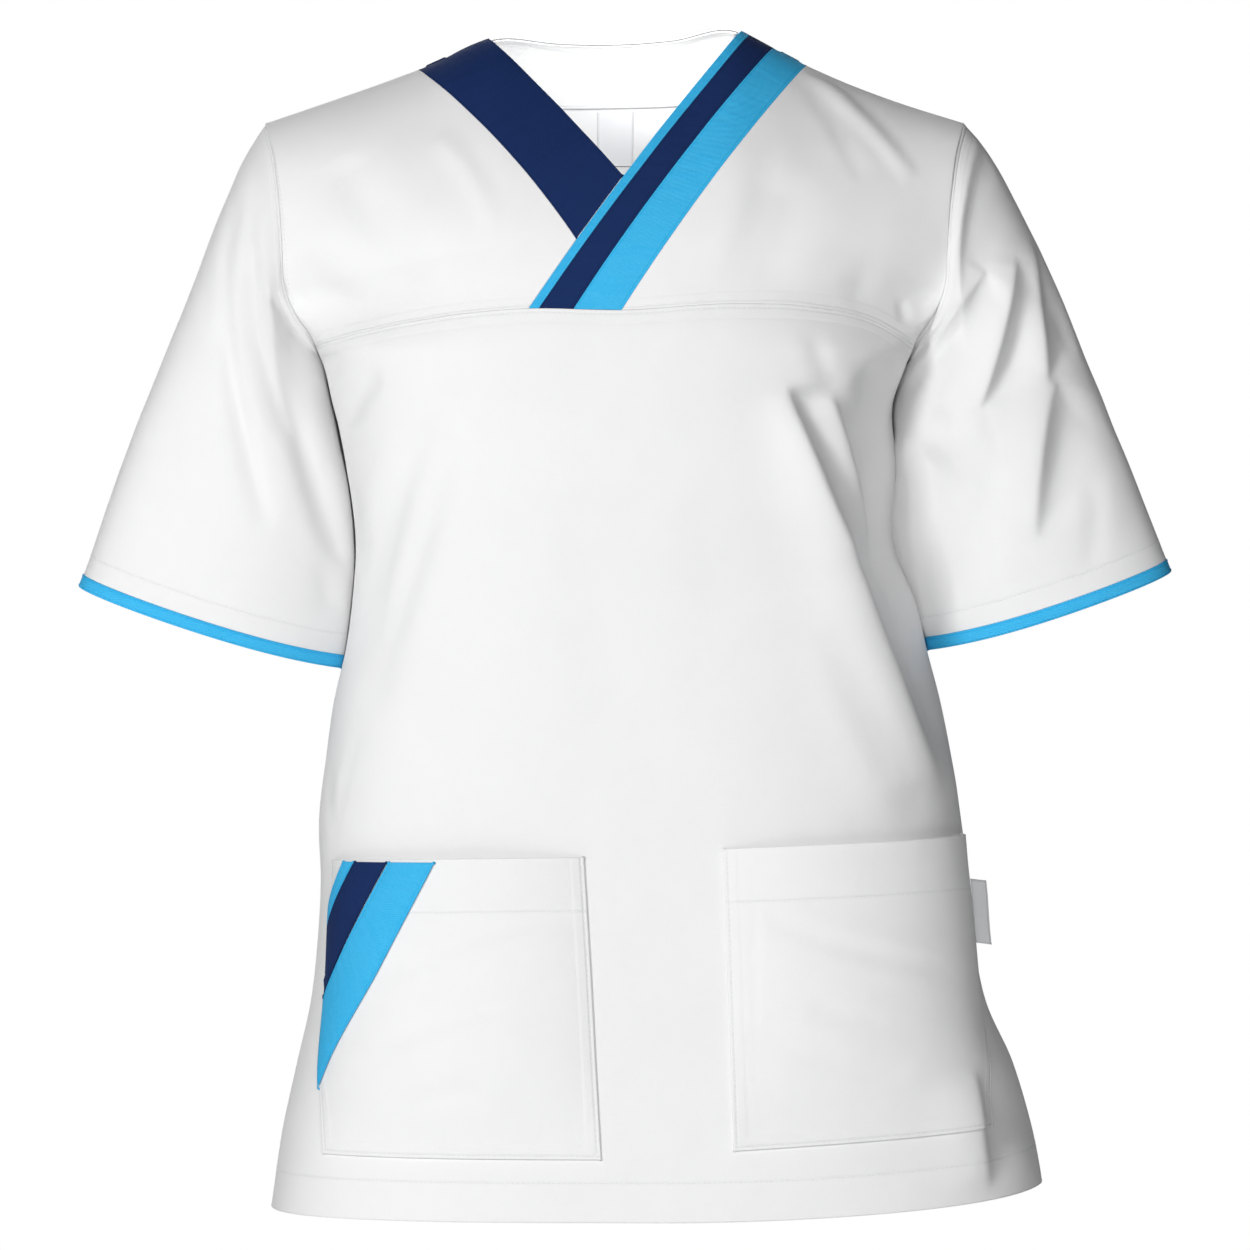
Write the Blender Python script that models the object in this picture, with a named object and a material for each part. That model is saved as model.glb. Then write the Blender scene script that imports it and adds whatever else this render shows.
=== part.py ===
"""Short-sleeved tunic with a crossed V-neck, filled out as if worn.

Every piece is a thin wall that lies on one hollow form. The form is worked out from
two tables of sections, one for the body and one for each sleeve, in millimetres.
X runs to the wearer's left, -Y is the front and +Z is up. The origin lies midway
between the two neck points, at the height of the shoulders' inner ends.
"""

import math
from collections import namedtuple

import bpy
import numpy as np

MM = 0.001
QUARTER = math.pi / 2

# Walls and spaces
CLOTH = 1.2 * MM              # body cloth
TRIM = 1.0 * MM               # tapes and labels
BINDING = 1.6 * MM            # folded cuff binding
SEAM = 0.3 * MM               # between two sewn pieces
LAID_ON = 0.5 * MM            # between a panel and a piece sewn on top of it

# Armholes and shoulders, heights from the neck points
SHOULDER_TIP = -55 * MM
ARMPIT = -198 * MM
ARMHOLE_DEPTH = 60 * MM       # front or back reach of the armhole seam
ARMHOLE_STEPS = 14            # from the shoulder tip to the armpit
CHEST_SEAM_STEP = 12          # the chest seam leaves the armhole at this step
PLAIN_END_STEP = 9            # the plain band's lower edge ends at this step
SHOULDER_ROUND = 140 * MM     # drop over which the chest comes forward
ROUNDNESS = 2.4               # of a body section, 2 is an ellipse
YOKE_ROUNDNESS = 2.2          # flatter towards the armhole
YOKE_BLEND = 42 * MM          # height over which one turns into the other
NECK_HALF = 76 * MM           # neck points from the middle
NAPE_DEPTH = 58 * MM          # back neckline behind the neck points
SIDE_CURVE = 60 * MM          # radius of the body's section at its sides
UNDERARM_FOLLOW = 0.9         # share of the chest seam's dip in the armpit's row
CORNER_SPACE = 6              # wider seam where the chest seam leaves the armhole
BAND_SPACE = 0.6              # of a seam's space, between a yoke and its slanting band
CROSSING_END = 0.999          # shares of the bands' lengths at their lower ends
PLAIN_END = 0.996

# Hem
HEM = -702 * MM
HEM_RISE_LEFT = 15 * MM       # the wearer's left side hangs shorter
SIDE_SEAM_TURN = math.radians(14)   # left side seam's turn forward at the hem

# Back neck, in steps of the back panel's own net of points
FACING_ROWS = 4
FACING_INSET = 0.4
FACING_TOP = 0.2
NECK_LABEL_HALF = 0.75
NECK_LABEL_ROWS = (1.75, 1, 0.5, 0.06)

# Cuff and side label
BINDING_WIDTH = 8 * MM
CUFF_BOW = 4.5 * MM           # the front of the cuff hangs lower
SIDE_LABEL_TOP = -507 * MM
SIDE_LABEL_BOTTOM = -545 * MM
SIDE_LABEL_REACH = 10 * MM
SIDE_LABEL_DROOP = 0.12       # of its reach

# Sleeve cloth, in shares of the sleeve's length
TURN_FROM_SEAM = 0.12         # over which the wall turns from the armhole's direction
FOLDS_FROM_SEAM = 0.1
FOLDS_FROM_CUFF = 0.06
BACK_FOLD_ASIDE = 6 * MM      # folds on the hidden side lie further in
BACK_FOLD_DOWN = 9 * MM       # and lower

# Pocket fullness
POCKET_SWELL = 10 * MM
TAPE_SPACE = 0.02             # of a tape's width, free at each side

Section = namedtuple("Section", "height left right front back")
BODY = [
    Section(-706, -206, 258, 124, 118),
    Section(-653, -198, 249, 125, 121),
    Section(-617, -190, 238, 124, 121),
    Section(-581, -182, 222, 121, 117),
    Section(-545, -178, 215, 118, 112),
    Section(-509, -176, 212, 114, 106),
    Section(-473, -177, 207, 111, 100),
    Section(-437, -173, 202, 109, 96),
    Section(-401, -168, 195, 108, 94),
    Section(-370, -161, 187, 108, 94),
    Section(-340, -157, 180, 110, 95),
    Section(-310, -155, 168, 113, 98),
    Section(-265, -160, 170, 118, 103),
    Section(-221, -169, 167, 119, 108),
    Section(-198, -175, 175, 118, 110),
    Section(-185, -180, 180, 117, 112),
    Section(-170, -190, 190, 115, 113),
    Section(-155, -195, 195, 113, 114),
    Section(-137, -196, 196, 110, 114),
    Section(-101, -199, 199, 101, 112),
    Section(-76, -203, 203, 94, 107),
    Section(-55, -209, 209, 87, 101),
    Section(10, -209, 209, 74, 86),
]

ShoulderPoint = namedtuple("ShoulderPoint", "across height")
SHOULDER = [
    ShoulderPoint(-209, -55),
    ShoulderPoint(-168, -41),
    ShoulderPoint(-134, -29),
    ShoulderPoint(-106, -18),
    ShoulderPoint(-86, -8),
    ShoulderPoint(-72, -3),
    ShoulderPoint(-36, -2),
    ShoulderPoint(0, -1),
    ShoulderPoint(36, 0),
    ShoulderPoint(72, 2),
    ShoulderPoint(86, -5),
    ShoulderPoint(106, -16),
    ShoulderPoint(134, -29),
    ShoulderPoint(168, -42),
    ShoulderPoint(209, -55),
]

SeamPoint = namedtuple("SeamPoint", "across height")
CHEST_SEAM = [
    SeamPoint(-178, -191),
    SeamPoint(-160, -187),
    SeamPoint(-126, -180),
    SeamPoint(-91, -175),
    SeamPoint(-50, -172),
    SeamPoint(4, -173),
    SeamPoint(73, -169),
    SeamPoint(114, -170),
    SeamPoint(155, -178),
    SeamPoint(178, -191),
]

SleeveRing = namedtuple("SleeveRing", "share outer drop inner inner_drop depth")
SLEEVE_RIGHT = [
    SleeveRing(0.00, 209, -55, 175, -198, 60),
    SleeveRing(0.07, 220, -74, 179, -209, 61),
    SleeveRing(0.18, 233, -103, 175, -227, 60),
    SleeveRing(0.39, 256, -161, 164, -266, 56),
    SleeveRing(0.61, 281, -221, 159, -308, 51),
    SleeveRing(0.82, 303, -281, 161, -346, 46),
    SleeveRing(1.00, 321, -332, 167, -382, 43),
]
SLEEVE_LEFT = [
    SleeveRing(0.00, 209, -55, 175, -198, 60),
    SleeveRing(0.07, 224, -74, 180, -209, 61),
    SleeveRing(0.18, 240, -103, 177, -227, 60),
    SleeveRing(0.41, 268, -161, 174, -267, 56),
    SleeveRing(0.63, 292, -221, 173, -307, 51),
    SleeveRing(0.85, 316, -281, 186, -345, 46),
    SleeveRing(1.00, 333, -323, 192, -371, 43),
]

# Edges of the crossing band, each from the shoulder down to the chest seam
BandEdge = namedtuple("BandEdge", "shoulder seam bow")
CROSSING_EDGES = [
    BandEdge(76, -50, 2),
    BandEdge(81, -44, 2),
    BandEdge(95, -24, 3),
    BandEdge(115, 4, 3),
]
# The plain band runs from the shoulder to the crossing band's neck edge
PlainEdge = namedtuple("PlainEdge", "shoulder meets bow")
PLAIN_EDGES = [
    PlainEdge(-118, 0.77, 5),
    PlainEdge(-76, 0.55, 1),
]

PocketRow = namedtuple("PocketRow", "inner inner_height outer outer_height")
POCKET_RIGHT = [
    PocketRow(-8, -665, -170, -665),
    PocketRow(-11, -612, -172, -616),
    PocketRow(-14, -556, -168, -560),
    PocketRow(-18, -491, -165, -494),
]
POCKET_LEFT = [
    PocketRow(69, -660, 225, -649),
    PocketRow(67, -600, 217, -590),
    PocketRow(65, -544, 211, -535),
    PocketRow(63, -486, 205, -480),
]
# Where each edge of the diagonal tapes meets the pocket's top and its outer side
TapeEdge = namedtuple("TapeEdge", "along_top down_side")
TAPE_EDGES = [
    TapeEdge(-153, -518),
    TapeEdge(-146, -528),
    TapeEdge(-127, -567),
    TapeEdge(-101, -623),
]

# Folds: a soft trough through three points, seen from the front or the back
Fold = namedtuple("Fold", "x1 z1 x2 z2 x3 z3 half_width depth")
FRONT_FOLDS = [
    Fold(-132, -208, -152, -222, -158, -246, 11, 3),
    Fold(-106, -236, -135, -304, -153, -396, 15, 5),
    Fold(-90, -242, -119, -320, -144, -410, 13, 3.5),
    Fold(102, -228, 134, -312, 196, -450, 14, 6),
    Fold(120, -350, 148, -414, 184, -476, 18, 4),
    Fold(130, -232, 149, -268, 160, -312, 12, 4),
    Fold(146, -200, 158, -224, 160, -250, 14, 4),
    Fold(-164, -78, -142, -116, -107, -170, 22, 3),
    Fold(104, -84, 94, -124, 76, -164, 22, 2.5),
]
BACK_FOLDS = [
    Fold(-120, -215, -132, -280, -150, -372, 16, 5),
    Fold(118, -222, 140, -300, 172, -392, 16, 5),
    Fold(-60, -372, -20, -382, 24, -376, 15, 4),
    Fold(-84, -404, -30, -412, 40, -402, 14, 3.5),
    Fold(-150, -90, -120, -130, -96, -186, 24, 3),
    Fold(150, -90, 122, -134, 100, -190, 24, 3),
]
SLEEVE_RIGHT_FOLDS = [
    Fold(-202, -182, -184, -250, -160, -320, 12, 5),
    Fold(-211, -128, -213, -186, -194, -250, 10, 3),
    Fold(-232, -170, -224, -226, -205, -304, 10, 3),
]
SLEEVE_LEFT_FOLDS = [
    Fold(222, -146, 198, -186, 172, -228, 11, 5),
    Fold(244, -130, 236, -184, 220, -246, 11, 4),
    Fold(251, -136, 257, -182, 257, -216, 10, 3),
    Fold(272, -206, 258, -246, 252, -300, 11, 4),
    Fold(183, -240, 186, -296, 194, -352, 22, 7),
]

# Steps of the meshes
PANEL_COLUMNS_RIGHT = 10
PANEL_COLUMNS_MIDDLE = 4
PANEL_COLUMNS_LEFT = 11
PANEL_ROWS = 18
BACK_COLUMNS_SIDE = 8
BACK_COLUMNS_NECK = 10
SLEEVE_ROWS = 13
POCKET_COLUMNS = 14
POCKET_ROWS = 12

WHITE = (0.86, 0.87, 0.88, 1)
NAVY = (0.013, 0.028, 0.11, 1)
BLUE = (0.17, 0.50, 0.76, 1)
LABEL_WHITE = (0.80, 0.81, 0.82, 1)


def smooth(keys, values):
    """A smooth curve through a table's column, in metres, as a function."""
    keys = np.array(keys, float)
    values = np.array(values, float)
    if keys[0] > keys[-1]:
        keys, values = keys[::-1], values[::-1]
    slopes = np.gradient(values, keys)

    def value_at(where):
        where = np.clip(np.asarray(where, float), keys[0], keys[-1])
        spot = np.clip(np.searchsorted(keys, where) - 1, 0, len(keys) - 2)
        span = keys[spot + 1] - keys[spot]
        t = (where - keys[spot]) / span
        start = (1 + 2 * t) * (1 - t) ** 2 * values[spot]
        start = start + t * (1 - t) ** 2 * span * slopes[spot]
        end = t * t * (3 - 2 * t) * values[spot + 1]
        end = end - t * t * (1 - t) * span * slopes[spot + 1]
        return start + end

    return value_at


def column(rows, key, value):
    """A smooth curve of one column of a table in millimetres against another."""
    keys = [getattr(row, key) * MM for row in rows]
    return smooth(keys, [getattr(row, value) * MM for row in rows])


def ease(share):
    """0 to 1 with level ends."""
    share = np.clip(share, 0, 1)
    return share * share * (3 - 2 * share)


def length_of(vectors):
    return np.sqrt((vectors ** 2).sum(axis=-1, keepdims=True))


def unit(vectors):
    return vectors / np.maximum(length_of(vectors), 1e-12)


def stack(x, y, z):
    return np.stack(np.broadcast_arrays(x, y, z), axis=-1)


body_left = column(BODY, "height", "left")
body_right = column(BODY, "height", "right")
body_front = column(BODY, "height", "front")
body_back = column(BODY, "height", "back")
shoulder_height = column(SHOULDER, "across", "height")
chest_seam = column(CHEST_SEAM, "across", "height")


def armhole_height(angle):
    """Height on the armhole seam, from its tip at 0 to the armpit at pi."""
    return SHOULDER_TIP + (ARMPIT - SHOULDER_TIP) * (1 - np.cos(angle)) / 2


def armhole_reach(height):
    """How far the armhole seam stands forward, or back, of the side."""
    share = np.clip((SHOULDER_TIP - height) / (SHOULDER_TIP - ARMPIT), 0, 1)
    return ARMHOLE_DEPTH * 2 * np.sqrt(share * (1 - share))


def panel_reach(aside, height):
    """The armhole's reach, eased above the armpit away from the seam itself."""
    share = np.clip((SHOULDER_TIP - height) / (SHOULDER_TIP - ARMPIT), 0, 1)
    seam = armhole_reach(height)
    eased = ARMHOLE_DEPTH * np.sin(math.pi * share) ** 1.6
    eased = np.where(share > 0.5, eased, seam)
    at_seam = np.abs(aside) ** 14
    return seam * at_seam + eased * (1 - at_seam)


def section_shares(turn):
    """Sideways and forward shares of a rounded section at a turn from its middle."""
    aside, forward = np.sin(turn), np.cos(turn)
    reach = (np.abs(aside) ** ROUNDNESS + np.abs(forward) ** ROUNDNESS) ** (-1 / ROUNDNESS)
    return aside * reach, forward * reach


def turn_at(x, height):
    """The turn at which a section passes a point seen from the front."""
    left, right = body_left(height), body_right(height)
    aside = np.clip((2 * x - left - right) / (right - left), -1, 1)
    forward = (1 - np.abs(aside) ** ROUNDNESS) ** (1 / ROUNDNESS)
    return np.arctan2(aside, forward)


def nape(x):
    """How far the back neckline lies behind the neck points."""
    share = np.clip(np.abs(x) / NECK_HALF, 0, 1)
    return NAPE_DEPTH * np.cos(QUARTER * share) ** 1.2


def torso(turn, height, face):
    """Points of the body's form on its front (face -1) or back (face 1)."""
    aside, forward = section_shares(turn)
    left, right = body_left(height), body_right(height)
    x = (left + right) / 2 + (right - left) / 2 * aside
    flatter = ease((height - ARMPIT) / YOKE_BLEND)
    forward = (1 - flatter) * forward + flatter * (1 - np.abs(aside) ** YOKE_ROUNDNESS)
    drop = np.clip((shoulder_height(x) - height) / SHOULDER_ROUND, 0, 1)
    come_forward = np.sqrt(1 - (1 - drop) ** 2)
    start = nape(x) if face > 0 else 0
    full = body_back(height) if face > 0 else body_front(height)
    depth = start + (full - start) * come_forward
    edge = panel_reach(aside, height)
    return stack(x, face * (edge + (depth - edge) * forward), height)


def torso_normal(turn, height, face):
    """Outward directions of the body's form."""
    turn_step, height_step = 0.004, 0.4 * MM
    across = torso(turn + turn_step, height, face) - torso(turn - turn_step, height, face)
    upward = torso(turn, height, face) - torso(turn, height - height_step, face)
    return unit(np.cross(across, upward)) * -face


def armhole_normal(angle, side):
    """Direction in which both pieces sewn at an armhole have their thickness."""
    lean = 0.25 + 0.4 * np.cos(angle)
    return unit(stack(side * np.maximum(lean, 0), -np.sin(angle), np.cos(angle)))


def fold_curve(fold):
    """Thirteen points of the curve that passes a fold's three points."""
    share = np.linspace(0, 1, 13)
    pull_x = 2 * fold.x2 - (fold.x1 + fold.x3) / 2
    pull_z = 2 * fold.z2 - (fold.z1 + fold.z3) / 2
    x = (1 - share) ** 2 * fold.x1 + 2 * share * (1 - share) * pull_x + share ** 2 * fold.x3
    z = (1 - share) ** 2 * fold.z1 + 2 * share * (1 - share) * pull_z + share ** 2 * fold.z3
    return x * MM, z * MM


def fold_height(x, z, folds):
    """How far the folds move the cloth out; a trough is below zero."""
    total = np.zeros(np.broadcast(x, z).shape)
    for fold in folds:
        line_x, line_z = fold_curve(fold)
        nearest = np.full(total.shape, 1e9)
        along = np.zeros(total.shape)
        pieces = len(line_x) - 1
        for k in range(pieces):
            step_x, step_z = line_x[k + 1] - line_x[k], line_z[k + 1] - line_z[k]
            share = (x - line_x[k]) * step_x + (z - line_z[k]) * step_z
            share = np.clip(share / (step_x ** 2 + step_z ** 2), 0, 1)
            away = np.hypot(x - line_x[k] - share * step_x, z - line_z[k] - share * step_z)
            along = np.where(away < nearest, (k + share) / pieces, along)
            nearest = np.minimum(away, nearest)
        fade = np.sin(math.pi * along) ** 0.6
        ratio = nearest / (fold.half_width * MM)
        total = total - fold.depth * MM * fade * (1 - ratio ** 2) * np.exp(-ratio ** 2)
    return total


def on_body(turn, height, face, lift=0.0):
    """Points and outward directions on the folded cloth of the body."""
    points = torso(turn, height, face)
    normals = torso_normal(turn, height, face)
    folds = FRONT_FOLDS if face < 0 else BACK_FOLDS
    edge = np.cos(turn) * ease((shoulder_height(points[..., 0]) - height) / (20 * MM))
    move = fold_height(points[..., 0], points[..., 2], folds) * ease(edge * 3) + lift
    return points + normals * np.expand_dims(move, -1), normals


def on_front(x, height, lift=0.0):
    return on_body(turn_at(x, height), height, -1, lift)


def wall(name, points, normals, thickness, material, ring=False):
    """A closed wall: outer points, the same points moved in, and the rims."""
    rows, columns = points.shape[:2]
    inner = points - normals * thickness
    mesh = bpy.data.meshes.new(name)
    vertices = np.concatenate([points.reshape(-1, 3), inner.reshape(-1, 3)])
    across = points[0, 1] - points[0, 0]
    upward = points[1, 0] - points[0, 0]
    flip = np.dot(np.cross(across, upward), normals[0, 0] + normals[1, 1]) < 0
    count = rows * columns
    faces = []

    def add(a, b, c, d, turned):
        for face in ([a, b, c], [a, c, d]):
            faces.append(face[::-1] if turned else face)

    spans = columns if ring else columns - 1
    for row in range(rows - 1):
        for start in range(spans):
            end = (start + 1) % columns
            a, b = row * columns + start, row * columns + end
            c, d = b + columns, a + columns
            add(a, b, c, d, flip)
            add(a + count, b + count, c + count, d + count, not flip)
    top = (rows - 1) * columns
    for start in range(spans):
        end = (start + 1) % columns
        add(start, start + count, end + count, end, flip)
        add(top + end, top + end + count, top + start + count, top + start, flip)
    if not ring:
        for row in range(rows - 1):
            low, high = row * columns, (row + 1) * columns
            add(high, high + count, low + count, low, flip)
            low, high = low + columns - 1, high + columns - 1
            add(low, low + count, high + count, high, flip)
    mesh.from_pydata([tuple(vertex) for vertex in vertices], [], faces)
    mesh.shade_smooth()
    mesh.set_sharp_from_angle(angle=math.radians(50))
    mesh.materials.append(material)
    piece = bpy.data.objects.new(name, mesh)
    bpy.data.collections["medical_tunic"].objects.link(piece)
    return piece


def cloth_material(name, colour, roughness):
    material = bpy.data.materials.new(name)
    material.use_nodes = True
    shader = material.node_tree.nodes["Principled BSDF"]
    shader.inputs["Base Color"].default_value = colour
    shader.inputs["Roughness"].default_value = roughness
    shader.inputs["Metallic"].default_value = 0.0
    return material


def panel_turns():
    """Columns of the front panel; some of them start at the crossing band's ends."""
    seam_left = CROSSING_EDGES[0].seam * MM
    seam_right = CROSSING_EDGES[-1].seam * MM
    turn_left = float(turn_at(seam_left, chest_seam(seam_left)))
    turn_right = float(turn_at(seam_right, chest_seam(seam_right)))
    right_side = np.linspace(-QUARTER, turn_left, PANEL_COLUMNS_RIGHT + 1)
    middle = np.linspace(turn_left, turn_right, PANEL_COLUMNS_MIDDLE + 1)
    left_side = np.linspace(turn_right, QUARTER, PANEL_COLUMNS_LEFT + 1)
    return right_side, middle, left_side


def height_on(turn, line):
    """The height at which a column of the body meets a line drawn across it."""
    height = np.full(np.shape(turn), ARMPIT)
    for _ in range(12):
        height = 0.5 * height + 0.5 * line(torso(turn, height, -1)[..., 0])
    return height


def hem_height(turn):
    return HEM + HEM_RISE_LEFT * np.maximum(np.sin(turn), 0) ** 2


def side_shift(turns, height):
    """How far each column leans forward, so that the left side seam shows in front."""
    below = ease((ARMPIT - height) / (ARMPIT - HEM))
    return SIDE_SEAM_TURN * below * np.maximum(turns / QUARTER, 0) ** 2


def armhole_angles():
    return np.linspace(0, math.pi, ARMHOLE_STEPS + 1)


def part_at_side(points, face):
    """Keeps both side seams' edges half a seam's space from the middle plane."""
    depth = np.maximum(points[..., 1] * face, SEAM / 2)
    points[..., 1] = depth * face


def tuck_from_armhole(points, normals, rows, angles, edge, side):
    """Sets a piece's edge on the armhole seam, half a space inside it."""
    for row, angle in zip(rows, angles):
        points[row, edge, 0] -= side * SEAM / 2
        normals[row, edge] = armhole_normal(angle, side)


def build_front_panel(material):
    """The front from hem to chest seam, its upper rows on the armholes' own steps."""
    right_side, middle, left_side = panel_turns()
    turns = np.concatenate([right_side, middle[1:], left_side[1:]])
    seam = height_on(turns, chest_seam)
    angles = armhole_angles()[CHEST_SEAM_STEP:][::-1]
    corner = armhole_height(angles[-1])
    seam[0] = seam[-1] = corner
    steps = (armhole_height(angles) - ARMPIT) / (corner - ARMPIT)
    base = ARMPIT + (seam - corner) * UNDERARM_FOLLOW
    low = np.linspace(0, 1, PANEL_ROWS + 1)
    heights = [(1 - share) * hem_height(turns) + share * base for share in low]
    heights += [base + (seam - base) * share for share in steps[1:]]
    heights = np.array(heights)
    heights[-1] -= SEAM / 2
    points, normals = on_body(turns - side_shift(turns, heights[:, -1:]), heights, -1)
    part_at_side(points, -1)
    rows = range(PANEL_ROWS, len(heights))
    tuck_from_armhole(points, normals, rows, angles, 0, -1)
    tuck_from_armhole(points, normals, rows, angles, -1, 1)
    wall("front_panel", points, normals, CLOTH, material)


def back_turns():
    """Columns of the back panel, closer together behind the neck."""
    neck = float(turn_at(NECK_HALF, 0.0))
    side = np.linspace(-QUARTER, -neck, BACK_COLUMNS_SIDE + 1)
    middle = np.linspace(-neck, neck, BACK_COLUMNS_NECK + 1)
    return np.concatenate([side, middle[1:], -side[::-1][1:]])


def build_back_panel(material):
    """Builds the back panel and returns its points and directions."""
    turns = back_turns()
    angles = armhole_angles()[::-1]
    steps = (1 + np.cos(angles)) / 2
    top = height_on(turns, shoulder_height)
    top[0] = top[-1] = SHOULDER_TIP
    low = np.linspace(0, 1, PANEL_ROWS + 1)
    heights = [(1 - share) * hem_height(turns) + share * ARMPIT for share in low]
    heights += [ARMPIT + (top - ARMPIT) * share for share in steps[1:]]
    heights = np.array(heights)
    seam_step = SEAM / SIDE_CURVE
    turned = turns + side_shift(turns, heights[:, -1:])
    points, normals = on_body(np.minimum(turned, QUARTER), heights, 1)
    part_at_side(points, 1)
    past_side = turned > QUARTER + 1e-6
    front_turn = np.where(past_side, 2 * QUARTER - turned + seam_step, QUARTER)
    front_points, front_normals = on_body(front_turn, heights, -1)
    points[past_side] = front_points[past_side]
    normals[past_side] = front_normals[past_side]
    rows = range(PANEL_ROWS, len(heights))
    tuck_from_armhole(points, normals, rows, -angles, 0, -1)
    tuck_from_armhole(points, normals, rows, -angles, -1, 1)
    neck = slice(BACK_COLUMNS_SIDE + 1, BACK_COLUMNS_SIDE + BACK_COLUMNS_NECK)
    neckline = points[-1, neck].copy(), normals[-1, neck].copy()
    corners = normals[-1, 0].copy(), normals[-1, -1].copy()
    finish_at_shoulder(points, normals, -1, 1)
    points[-1, neck], normals[-1, neck] = neckline
    normals[-1, 0], normals[-1, -1] = corners
    wall("back_panel", points, normals, CLOTH, material)
    return points, normals


def bowed(start, end, bow, share):
    """Points from start to end, bowed to the side, as x and height."""
    away = np.array([end[1] - start[1], start[0] - end[0]])
    away = away / np.hypot(*away)
    lift = 4 * bow * MM * share * (1 - share)
    x = start[0] + (end[0] - start[0]) * share + away[0] * lift
    height = start[1] + (end[1] - start[1]) * share + away[1] * lift
    return x, height


def crossing_edge(edge, share):
    """An edge of the crossing band, from the shoulder to the chest seam."""
    top = (edge.shoulder * MM, float(shoulder_height(edge.shoulder * MM)))
    end = (edge.seam * MM, float(chest_seam(edge.seam * MM)))
    return bowed(top, end, edge.bow, share)


def plain_edge(edge, share):
    """An edge of the plain band, from the shoulder to the crossing band."""
    top = (edge.shoulder * MM, float(shoulder_height(edge.shoulder * MM)))
    end = crossing_edge(CROSSING_EDGES[0], edge.meets)
    return bowed(top, end, -edge.bow, share)


def shoulder_shares():
    """Steps along a band or yoke, close together where the shoulder turns over."""
    steps = (1 + np.cos(armhole_angles()[:CHEST_SEAM_STEP + 1])) / 2
    return (1 - steps) / (1 - steps[-1])


def finish_at_shoulder(points, normals, row, face):
    """Sets a top edge on the shoulder seam, with its thickness downwards."""
    x = points[row, :, 0]
    step = 0.5 * MM
    slope = (shoulder_height(x + step) - shoulder_height(x - step)) / (2 * step)
    points[row] = stack(x, face * SEAM / 2, shoulder_height(x))
    normals[row] = unit(stack(-slope, 0 * x, 1 + 0 * x))


def strip(name, first, second, columns, material):
    """A strip of a band between two edges, each given as x and height."""
    start, end = np.array(first).T, np.array(second).T
    inward = unit(end - start) * SEAM / 2
    start, end = start + inward, end - inward
    across = np.linspace(0, 1, columns + 1)
    flat = start[:, None] + (end - start)[:, None] * across[None, :, None]
    points, normals = on_front(flat[..., 0], flat[..., 1])
    finish_at_shoulder(points, normals, 0, -1)
    wall(name, points, normals, CLOTH, material)


def build_bands(navy, blue):
    """The crossing band's three strips, and the plain band that it covers."""
    share = shoulder_shares()
    lower = np.append(share[:-1], CROSSING_END)
    names = ("neck_strip_piping", "neck_strip_navy", "neck_strip_blue")
    for name, first, second, material, columns in zip(
            names, CROSSING_EDGES, CROSSING_EDGES[1:], (blue, navy, blue), (1, 1, 2)):
        strip(name, crossing_edge(first, lower), crossing_edge(second, lower),
              columns, material)
    lower = share * PLAIN_END
    strip("neck_band_navy", plain_edge(PLAIN_EDGES[0], lower),
          plain_edge(PLAIN_EDGES[1], lower), 3, navy)


def yoke_net(bottom, top, outer, inner):
    """Fills four edges given as x and height: Coons' rule."""
    across = np.linspace(0, 1, bottom.shape[0])[None, :, None]
    up = 1 - shoulder_shares()[::-1, None, None]
    corners = ((1 - up) * (1 - across) * bottom[0] + (1 - up) * across * bottom[-1]
               + up * (1 - across) * top[0] + up * across * top[-1])
    net = (1 - up) * bottom[None] + up * top[None]
    return net + (1 - across) * outer[:, None] + across * inner[:, None] - corners


def build_yoke(name, side, material):
    """The front above the chest seam, between the armhole and its neck band."""
    right_side, _, left_side = panel_turns()
    turns = right_side if side < 0 else left_side[::-1]
    seam = height_on(turns, chest_seam)
    angles = armhole_angles()[:CHEST_SEAM_STEP + 1][::-1]
    seam[0] = armhole_height(angles[0])
    bottom = torso(turns, seam, -1)[:, [0, 2]]
    ring_height = armhole_height(angles)
    edge = body_left if side < 0 else body_right
    outer = np.stack([edge(ring_height), ring_height], axis=-1)
    share = shoulder_shares()[::-1]
    if side < 0:
        corner = shoulder_shares()[PLAIN_END_STEP]
        meets = PLAIN_EDGES[0].meets
        past = np.clip((share - corner) / (1 - corner), 0, 1)
        low = crossing_edge(CROSSING_EDGES[0], meets + (1 - meets) * past)
        high = plain_edge(PLAIN_EDGES[0], np.clip(share / corner, 0, 1))
        inner = np.where(share > corner, low, high).T
        top_end = PLAIN_EDGES[0].shoulder * MM
    else:
        inner = np.stack(crossing_edge(CROSSING_EDGES[-1], share), axis=-1)
        top_end = CROSSING_EDGES[-1].shoulder * MM
    top_x = np.linspace(edge(SHOULDER_TIP), top_end, len(turns))
    top = np.stack([top_x, shoulder_height(top_x)], axis=-1)
    net = yoke_net(bottom, top, outer, inner)
    from_armhole = np.linspace(0, 1, len(turns))
    net[0, :, 1] += SEAM / 2 * (1 + CORNER_SPACE * (1 - from_armhole) ** 4)
    net[:, -1, 0] += side * SEAM * BAND_SPACE
    points, normals = on_front(net[..., 0], net[..., 1])
    for row, angle in enumerate(angles):
        reach = -ARMHOLE_DEPTH * math.sin(angle)
        points[row, 0] = (outer[row, 0] - side * SEAM / 2, reach, outer[row, 1])
        normals[row, 0] = armhole_normal(angle, side)
    points[0, 0, 2] += 2 * SEAM
    finish_at_shoulder(points, normals, -1, -1)
    normals[-1, 0] = armhole_normal(0.0, side)
    wall(name, points, normals, CLOTH, material)


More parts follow.
